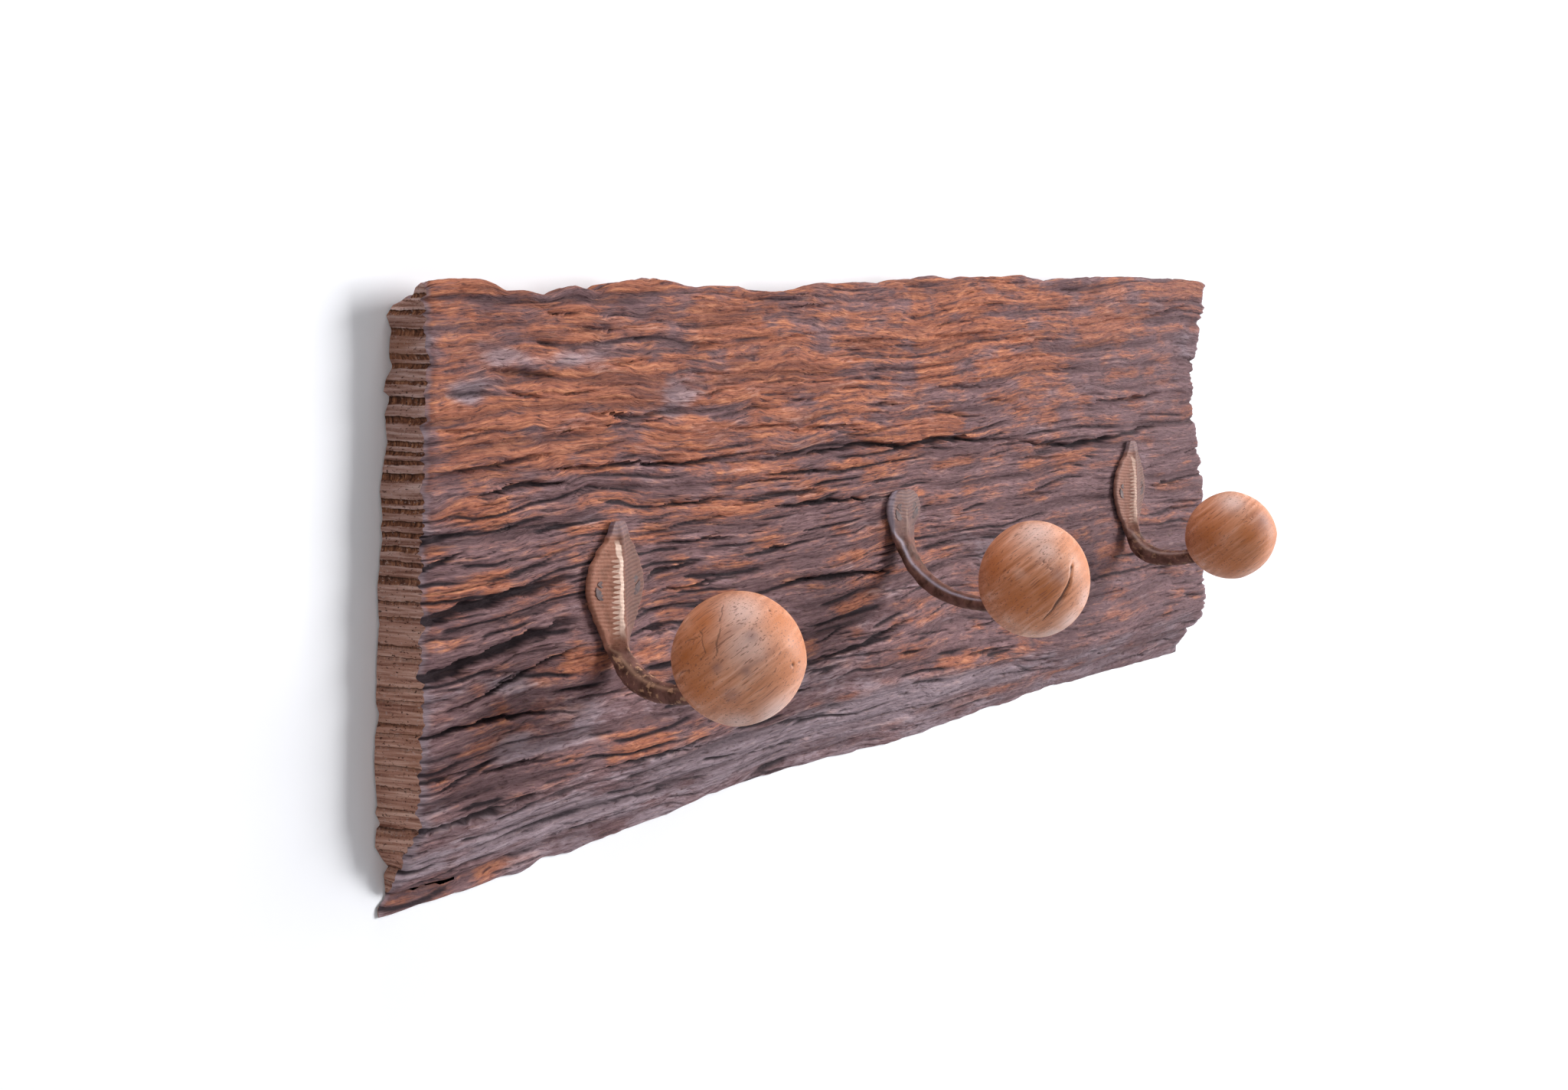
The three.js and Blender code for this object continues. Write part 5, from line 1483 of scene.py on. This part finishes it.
def patina_bronze():
    """Dark patina, with a painted highlight in a pale line and teeth on the spine's left flank."""
    finish = Finish("patina_bronze")
    blotches, specks = finish.noise(260, (1, 1, 1), 4), finish.noise(900, (1, 1, 1), 3)
    glint_pattern = finish.noise(430, (1, 1, 1), 4, 0.6)
    across, travel, plate, rim, gilt, cool = (
        finish.mask(name) for name in ("across", "travel", "plate", "rim", "gilt", "cool")
    )
    bar = finish.minus(1, plate)
    plate_colour = finish.coats(
        finish.ramp(blotches, LIT_PATINA),
        # Painted shade: the plate's right flank darker than its left.
        (finish.level(across, RIDGE_PLACE - 0.04, 0.12), finish.ramp(blotches, SHADED_PATINA)),
        (finish.level(travel, 5, 3), TIP_GREY),
        (finish.times(cool, 0.9), COOL_GREY),
        # A painted highlight on the rib crests.
        (finish.times(finish.mask("bright"), 0.32), RIB_CREST_HIGHLIGHT),
    )
    # Painted golden glints on the bars, as strong as the hook's other painted highlights.
    spots = finish.times(finish.level(glint_pattern, 0.53, 0.61, 0, 0.8), bar)
    # A painted highlight along the rim: on every bar, and on the plates of the bluer hooks.
    rim_highlight = finish.times(rim, finish.times(finish.math("MAXIMUM", cool, bar), 0.6))
    # A painted highlight: a pale line with teeth on the spine's left flank.
    worn = painted_highlight_line(finish, across, travel, plate, blotches)
    colour = finish.coats(
        finish.ramp(blotches, STEM_PATINA),
        (plate, plate_colour),
        (finish.times(spots, gilt), GLINT_GOLD),
        (rim_highlight, finish.mix(cool, WARM_PAINTED_HIGHLIGHT, COOL_PAINTED_HIGHLIGHT)),
        (finish.times(worn, gilt), PAINTED_HIGHLIGHT_CREAM),
        (finish.level(specks, 0.6, 0.75, 0, 0.5), DARK_SPECK),
    )
    roughness = finish.level(blotches, 0.3, 0.7, 0.5, 0.7)
    finish.surface(Base_Color=colour, Metallic=0.03, Roughness=roughness, Specular_IOR_Level=0.08)
    finish.surface(Normal=finish.bump(finish.plus(blotches, specks), 0.5, 0.2))
    return finish.material


# %% Dress the hooks
RIB_HEIGHT = 0.24

casting_tree = chased_casting(count_nodes(patina_bronze()))
for name, hook in HOOKS.items():
    casting = smooth_castings[name]
    apply_tree(casting, casting_tree, {"Rib height": RIB_HEIGHT * hook["ribs"]})
    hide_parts(f"hook_{name}")
    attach(casting, "root")
    print(casting.name, "has", len(casting.data.polygons), "faces")

# %% [markdown]
# Each knob is a ball turned from hardwood, and none is quite round. Flats, checks and pits are placed as
# the camera sees them: two numbers give a spot's distance to the right of the ball's middle and above it,
# in radii, and the spot is then found on the side that faces the camera.

# %% Marks of the knobs
# Flats have a direction round the outline in degrees and a height, and checks a width, a depth and a path.
# Pits, stains, painted highlights and painted shade in dark orange have a place and a width.
KNOB_MARKS = {
    "left": {
        "flats": [(36, 0.978), (132, 0.98), (-46, 0.975), (-140, 0.985), (84, 0.985)],
        "checks": [
            (0.026, 0.01, [(-0.2, 0.88), (-0.25, 0.55), (-0.3, 0.2), (-0.36, -0.2)]),
            (0.022, 0.008, [(-0.94, 0.16), (-0.77, 0.27), (-0.575, 0.35), (-0.44, 0.36)]),
            (0.022, 0.008, [(-0.63, 0.55), (-0.52, 0.38), (-0.48, 0.1), (-0.6, -0.35)]),
            (0.022, 0.008, [(-0.9, -0.3), (-0.77, -0.15), (-0.52, -0.07)]),
        ],
        "pits": [(0.79, -0.07, 0.045), (0.88, -0.04, 0.03), (0.46, 0.72, 0.035), (-0.56, -0.78, 0.02)],
        "stain": [(-0.1, -0.49, 0.13), (0.12, -0.15, 0.07), (0.2, 0.35, 0.1), (-0.3, -0.1, 0.08)],
        "bloom": [(0.02, 0.7, 0.42), (0.15, 0.25, 0.35), (0.55, -0.75, 0.35), (0.0, -0.9, 0.25)],
        "amber": [
            (-0.7, 0.1, 0.4), (-0.5, 0.55, 0.3), (-0.55, -0.45, 0.3), (0.9, 0.1, 0.5), (0.65, 0.55, 0.35),
        ],
    },
    "middle": {
        "flats": [(30, 0.985), (150, 0.98), (-120, 0.985)],
        "checks": [
            (0.05, 0.045, [(0.63, 0.34), (0.6, 0.12), (0.5, -0.16), (0.36, -0.4), (0.21, -0.57), (0, -0.76)]),
        ],
        "pits": [(0.1, 0.3, 0.03), (0.22, 0.18, 0.025)],
        "stain": [(0.35, 0.1, 0.16)],
        "bloom": [(0, 0.8, 0.4), (0.15, 0.5, 0.25), (0.85, -0.3, 0.22), (0.6, -0.68, 0.25), (0.3, -0.9, 0.2)],
        "amber": [(-0.35, -0.35, 0.4), (-0.75, 0.2, 0.3), (0.1, -0.2, 0.25), (0.85, 0.3, 0.5)],
    },
    "right": {
        "flats": [(42, 0.97), (-38, 0.96), (-105, 0.985), (140, 0.98)],
        "checks": [],
        "pits": [(0.3, 0.4, 0.025)],
        "stain": [(0.55, 0.35, 0.3)],
        "bloom": [(-0.1, 0.75, 0.3)],
        "amber": [(-0.6, 0, 0.5), (-0.1, -0.7, 0.4), (0.2, 0, 0.3), (0.8, 0.1, 0.5)],
    },
}


def seen_at(across, above):
    """The direction from a ball's middle to the spot that the camera sees there."""
    towards = math.sqrt(max(0, 1 - across**2 - above**2))
    return np.array(right * across + up * above - gaze * towards)


def gap_to_path(points, path):
    """Distance from each point of a unit ball to a path on it, and how far along the path that is."""
    spots = [seen_at(*spot) for spot in path]
    nearest, progress = np.full(len(points), np.inf), np.zeros(len(points))
    for number, (start, end) in enumerate(zip(spots, spots[1:])):
        run = end - start
        share = np.clip((points - start) @ run / (run @ run), 0, 1)
        on_path = start + share[:, None] * run
        gap = np.linalg.norm(points - on_path / np.linalg.norm(on_path, axis=1, keepdims=True), axis=1)
        closer = gap < nearest
        nearest[closer], progress[closer] = gap[closer], (number + share[closer]) / (len(spots) - 1)
    return nearest, progress


for name, marks in KNOB_MARKS.items():
    print("The", name, "knob has", {kind: len(spots) for kind, spots in marks.items()})

# %% [markdown]
# A cube that is divided and pushed out to a sphere gives even faces with no poles. Its points are then
# moved in a little, in shares of the radius: a flat limits how far they stand out, and checks and pits
# are cut. Checks wander, because drying wood splits along its fibres and rays and not along a curve.

# %% Shape of the knobs
KNOB_CUTS = 72
OUT_OF_ROUND = 0.006
CHECK_WANDER = 0.025
PIT_DEPTH = 0.03
# Each wander has the two axes that its noise reads and its seed.
WANDERS = ((0, 2, 92), (2, 0, 93), (1, 1, 94))


def ball_points():
    """A unit sphere as an evenly divided cube."""
    shell = bmesh.new()
    bmesh.ops.create_cube(shell, size=2)
    bmesh.ops.subdivide_edges(shell, edges=shell.edges[:], cuts=KNOB_CUTS, use_grid_fill=True)
    points = np.array([vertex.co[:] for vertex in shell.verts])
    faces = [[vertex.index for vertex in face.verts] for face in shell.faces]
    shell.free()
    spread = np.tan(points * math.pi / 4)
    return spread / np.linalg.norm(spread, axis=1, keepdims=True), faces


def gap_to_spot(points, spot):
    """Distance from each point of a unit ball to a spot, in the spot's own widths."""
    across, above, width = spot
    return np.linalg.norm(points - seen_at(across, above), axis=1) / width


def soft_spots(points, spots):
    """A mask that is 1 in the middle of every spot and fades away round it."""
    mask = np.zeros(len(points))
    for spot in spots:
        mask = np.maximum(mask, np.exp(-(gap_to_spot(points, spot) ** 2)))
    return mask


def knob_shape(points, marks, seed):
    """The ball's height as a share of its radius, with a mask for each kind of mark."""
    height = 1 - OUT_OF_ROUND * np.abs(noise(points[:, 0] * 1.6 + 7 * seed, points[:, 2] * 1.6, 91))
    crack = np.zeros(len(points))
    for turn, limit in marks["flats"]:
        angle = math.radians(turn)
        facing = points @ np.array(right * math.cos(angle) + up * math.sin(angle))
        height = np.minimum(height, 1 - (1 - limit) * fade(facing, 0.6, 1))
    wander = np.stack([noise(points[:, i] * 9, points[:, j] * 7, key) for i, j, key in WANDERS], axis=1)
    for width, depth, path in marks["checks"]:
        gap, progress = gap_to_path(points + CHECK_WANDER * wander, path)
        taper = np.sin(math.pi * np.clip(progress, 0.02, 0.98)) ** 0.5
        nearness = np.clip(1 - gap / width / taper, 0, 1)
        height = height - depth * taper * nearness**0.8
        crack = np.maximum(crack, fade(nearness, 0.1, 0.7) * (0.6 + 4 * depth))
    for spot in marks["pits"]:
        nearness = np.clip(1 - gap_to_spot(points, spot), 0, 1)
        height = height - PIT_DEPTH * nearness
        crack = np.maximum(crack, nearness)
    # Two of these masks place painted highlights and painted shade.
    masks = {kind: soft_spots(points, marks[kind]) for kind in ("stain", "bloom", "amber")}
    return height, {"crack": np.clip(crack, 0, 1), **masks}


unit_ball, ball_faces = ball_points()
print("A knob has", len(unit_ball), "points")

# %% [markdown]
# The knobs' wood is a warm brown. Its growth rings and pores lie along two fixed axes, so the figure runs
# right through a ball as it does in a turned one. Pale highlights and dark orange shade are painted on it,
# and it has a few dark stains.

# %% Turned wood finish
RING_AXIS = np.array((-0.26, 0.55, 0.8))
GRAIN_AXIS = np.array((0.48, -0.642, 0.598))
TURNED_BROWN = [
    (0.34, (0.44, 0.155, 0.068)), (0.46, (0.6, 0.24, 0.122)), (0.56, (0.7, 0.305, 0.17)),
    (0.68, (0.79, 0.41, 0.28)),
]
RED_CLOUD = (0.5, 0.2, 0.1)
PALE_CLOUD = (0.8, 0.52, 0.42)
KNOB_HIGHLIGHT_PINK = (0.86, 0.63, 0.58)
KNOB_SHADE_AMBER = (0.52, 0.165, 0.052)
PORE_BROWN = (0.22, 0.085, 0.055)
FINE_BROWN = (0.3, 0.13, 0.09)
STAIN = (0.22, 0.125, 0.125)
CHECK_BROWN = (0.09, 0.042, 0.032)


def turned_wood(name, seed):
    """Brown hardwood whose growth rings and pores lie along two fixed axes."""
    finish = Finish(name)
    places = []
    for axis in (GRAIN_AXIS, RING_AXIS, np.cross(GRAIN_AXIS, RING_AXIS)):
        values = {0: finish.object_place, 1: tuple(axis)}
        places.append(finish.add("ShaderNodeVectorMath", values, operation="DOT_PRODUCT").outputs["Value"])
    grain = finish.add("ShaderNodeCombineXYZ", dict(zip("XYZ", places))).outputs[0]
    lines = finish.noise(1, (45, 620, 100), 4, 0.55, place=grain, distortion=0.4)
    pores = finish.noise(1, (150, 1900, 1600), 2, place=grain)
    fine = finish.noise(1, (420, 3600, 3000), 2, place=grain)
    cloud = finish.noise(75 + 5 * seed, (1, 1, 1), 3)
    colour = finish.coats(
        finish.ramp(lines, TURNED_BROWN),
        (finish.level(cloud, 0.42, 0.7, 0, 0.4), RED_CLOUD),
        (finish.level(cloud, 0.42, 0.25, 0, 0.35), PALE_CLOUD),
        # Painted highlights and painted reflections of the white surround.
        (finish.times(finish.mask("bloom"), 0.65), KNOB_HIGHLIGHT_PINK),
        # Painted shade in dark orange on the knob's sides.
        (finish.times(finish.mask("amber"), 0.85), KNOB_SHADE_AMBER),
        (finish.level(pores, 0.6, 0.65, 0, 0.7), PORE_BROWN),
        (finish.level(fine, 0.58, 0.7, 0, 0.4), FINE_BROWN),
        (finish.times(finish.mask("stain"), 0.5), STAIN),
        (finish.level(finish.mask("crack"), 0.1, 0.9), CHECK_BROWN),
    )
    roughness = finish.level(cloud, 0.3, 0.7, 0.45, 0.58)
    finish.surface(Base_Color=colour, Roughness=roughness, Specular_IOR_Level=0.28)
    finish.surface(Normal=finish.bump(finish.plus(pores, fine), 0.15, -0.08))
    return finish.material


# %% Make the knobs
for name, hook in HOOKS.items():
    _, _, middle = stem_path(hook)
    diameter, length = hook["knob"]
    height, masks = knob_shape(unit_ball, KNOB_MARKS[name], hook["seed"])
    centre = np.array([hook["x"], FACE_Y - middle[0], hook["top"] + middle[1]])
    shape = unit_ball * height[:, None] * (diameter / 2, length / 2, diameter / 2) + centre
    wood = turned_wood(f"knob_wood_{name}", hook["seed"])
    knob = make_piece(f"turned_knob_{name}", shape, ball_faces, [wood], None, masks)
    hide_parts(f"knob_{name}")
    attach(knob, "root")

# %% [markdown]
# The screws, studs and hanger plates keep their construction shapes, which are right as they are. They
# only take new metal finishes.

# %% Metal finishes
def worn_steel(name, dark, light, metallic, smoothest):
    """Stained steel with fine scratches."""
    finish = Finish(name)
    stains = finish.noise(500, (1, 1, 1), 4)
    scratches = finish.noise(1, (300, 2500, 300), 3)
    colour = finish.ramp(stains, [(0.35, dark), (0.65, light)])
    roughness = finish.level(scratches, 0.3, 0.7, smoothest, smoothest + 0.2)
    finish.surface(Base_Color=colour, Metallic=metallic, Roughness=roughness, Specular_IOR_Level=0.2)
    finish.surface(Normal=finish.bump(scratches, 0.3, 0.05))
    return finish.material


screw_steel = worn_steel("screw_steel", (0.06, 0.042, 0.047), (0.16, 0.1, 0.095), 0.0, 0.55)
plated_steel = worn_steel("plated_steel", (0.3, 0.3, 0.31), (0.5, 0.5, 0.51), 1.0, 0.35)
for name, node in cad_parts.items():
    finish = screw_steel if name.startswith("hook_screw") else plated_steel
    if name.startswith(("hook_screw", "hanger", "knob_stud")):
        node.data.materials.clear()
        node.data.materials.append(finish)
        print(name, "is finished in", finish.name)

# %% [markdown]
# The rack hangs on a plain white wall, which takes its soft shadow. The wall has a hole just behind the
# plank and lets light and sight through from its far side, so that the rack's back can be looked at too. A
# large soft lamp stands in front and to the right. Weaker ones hang overhead, light the left end and light
# the back, and a white surround fills the rest.

# %% Stage and light
WALL_REACH = 6000
WALL_PLACE = 0.6
HOLE_MARGIN, HOLE_STEPS = 2, 70
FLOOR_LEVEL = -900
SURROUND_STRENGTH = 0.21
STAGE_WHITE, STAGE_BOUNCE = (0.91, 0.915, 0.95), (0.35, 0.36, 0.38)
WALL_GLOW, FLOOR_GLOW = 0.04, 0.8
# Each lamp has a place, a width and height, and a power in watts. All of them point at the rack's middle.
LAMPS = {
    "key": ((3300, -2900, 900), (2400, 2400), 270),
    "overhead": ((100, -260, 1600), (900, 400), 14),
    "fill": ((-2500, -500, 300), (900, 900), 11),
    "back": ((1500, 2600, 900), (1800, 1800), 100),
}


def white_stage(name, glow, one_way=False):
    """White with a little light of its own, and greyer where it only sends light on to other pieces."""
    finish = Finish(name)
    path = finish.add("ShaderNodeLightPath").outputs
    seen = finish.math("MAXIMUM", path["Is Camera Ray"], path["Is Glossy Ray"])
    seen = finish.math("MAXIMUM", seen, path["Is Transmission Ray"])
    finish.surface(Base_Color=finish.mix(seen, STAGE_BOUNCE, STAGE_WHITE), Roughness=1.0)
    finish.surface(Emission_Color=(1, 1, 1, 1), Emission_Strength=finish.times(seen, glow))
    if one_way:
        behind = finish.add("ShaderNodeNewGeometry").outputs["Backfacing"]
        clear = finish.add("ShaderNodeBsdfTransparent").outputs[0]
        choice = finish.add("ShaderNodeMixShader", {0: behind, 1: finish.shader.outputs[0], 2: clear})
        finish.put(finish.nodes["Material Output"].inputs["Surface"], choice.outputs[0])
    return finish.material


def stage_piece(name, corners, faces, material):
    """A piece of the stage, from millimetre corners."""
    mesh = bpy.data.meshes.new(name)
    mesh.from_pydata([Vector(corner) * MM for corner in corners], [], faces)
    mesh.materials.append(material)
    piece = bpy.data.objects.new(name, mesh)
    bpy.context.collection.objects.link(piece)
    return piece


def lamp(name, place, size, power):
    """A soft rectangular lamp that points at the rack's middle."""
    light = bpy.data.lights.new(name, "AREA")
    light.shape, light.energy = "RECTANGLE", power
    light.size, light.size_y = (side * MM for side in size)
    item = bpy.data.objects.new(name, light)
    item.location = Vector(place) * MM
    item.rotation_euler = (-Vector(place)).to_track_quat("-Z", "Y").to_euler()
    bpy.context.collection.objects.link(item)


def hole_behind_plank():
    """The outline of the plank's back as (x, z) points, drawn in by a margin."""
    top_row, bottom_row = skin[0, 3:-3:3][:, [0, 2]], skin[-1, 3:-3:3][:, [0, 2]]
    ends = []
    for side, inwards in ((0, HOLE_MARGIN), (1, -HOLE_MARGIN)):
        low, high = skin[-1, -side, 2] + 2 * HOLE_MARGIN, skin[0, -side, 2] - 2 * HOLE_MARGIN
        levels = np.linspace(low, high, HOLE_STEPS)
        ends.append(np.stack([end_places(0 * levels, levels, side) + inwards, levels], axis=1))
    upper, lower = top_row - (0, HOLE_MARGIN), bottom_row + (0, HOLE_MARGIN)
    return np.vstack([lower, ends[1], upper[::-1], ends[0][::-1]])


def white_surround():
    """A world that is white to the camera and in reflections, and dimmer where it lights the pieces."""
    world = bpy.data.worlds.new("surround")
    bpy.context.scene.world = world
    world.use_nodes = True
    light = NodeMaker(world.node_tree)
    path = light.add("ShaderNodeLightPath").outputs
    seen = light.math("MAXIMUM", path["Is Camera Ray"], path["Is Glossy Ray"])
    strength = light.add("ShaderNodeMapRange", {"Value": seen, "To Min": SURROUND_STRENGTH}).outputs[0]
    background = light.nodes["Background"]
    light.put(background.inputs["Strength"], strength)
    light.put(background.inputs["Color"], (1, 1, 1, 1))


square = np.array([(-1, -1), (1, -1), (1, 1), (-1, 1)]) * WALL_REACH
wall_edge = np.maximum(square, (-WALL_REACH, FLOOR_LEVEL))
hole = hole_behind_plank()
wall_points = [(x, WALL_PLACE, z) for x, z in np.vstack([wall_edge, hole])]
stage_piece("wall", wall_points, fill(wall_edge, [hole]).tolist(), white_stage("stage_wall", WALL_GLOW, True))
floor_points = [(x, y, FLOOR_LEVEL) for x, y in square]
stage_piece("floor", floor_points, [(0, 1, 2, 3)], white_stage("stage_floor", FLOOR_GLOW))
for name, (place, size, power) in LAMPS.items():
    lamp(name, place, size, power)
white_surround()
print(len(LAMPS), "lamps and a white surround")
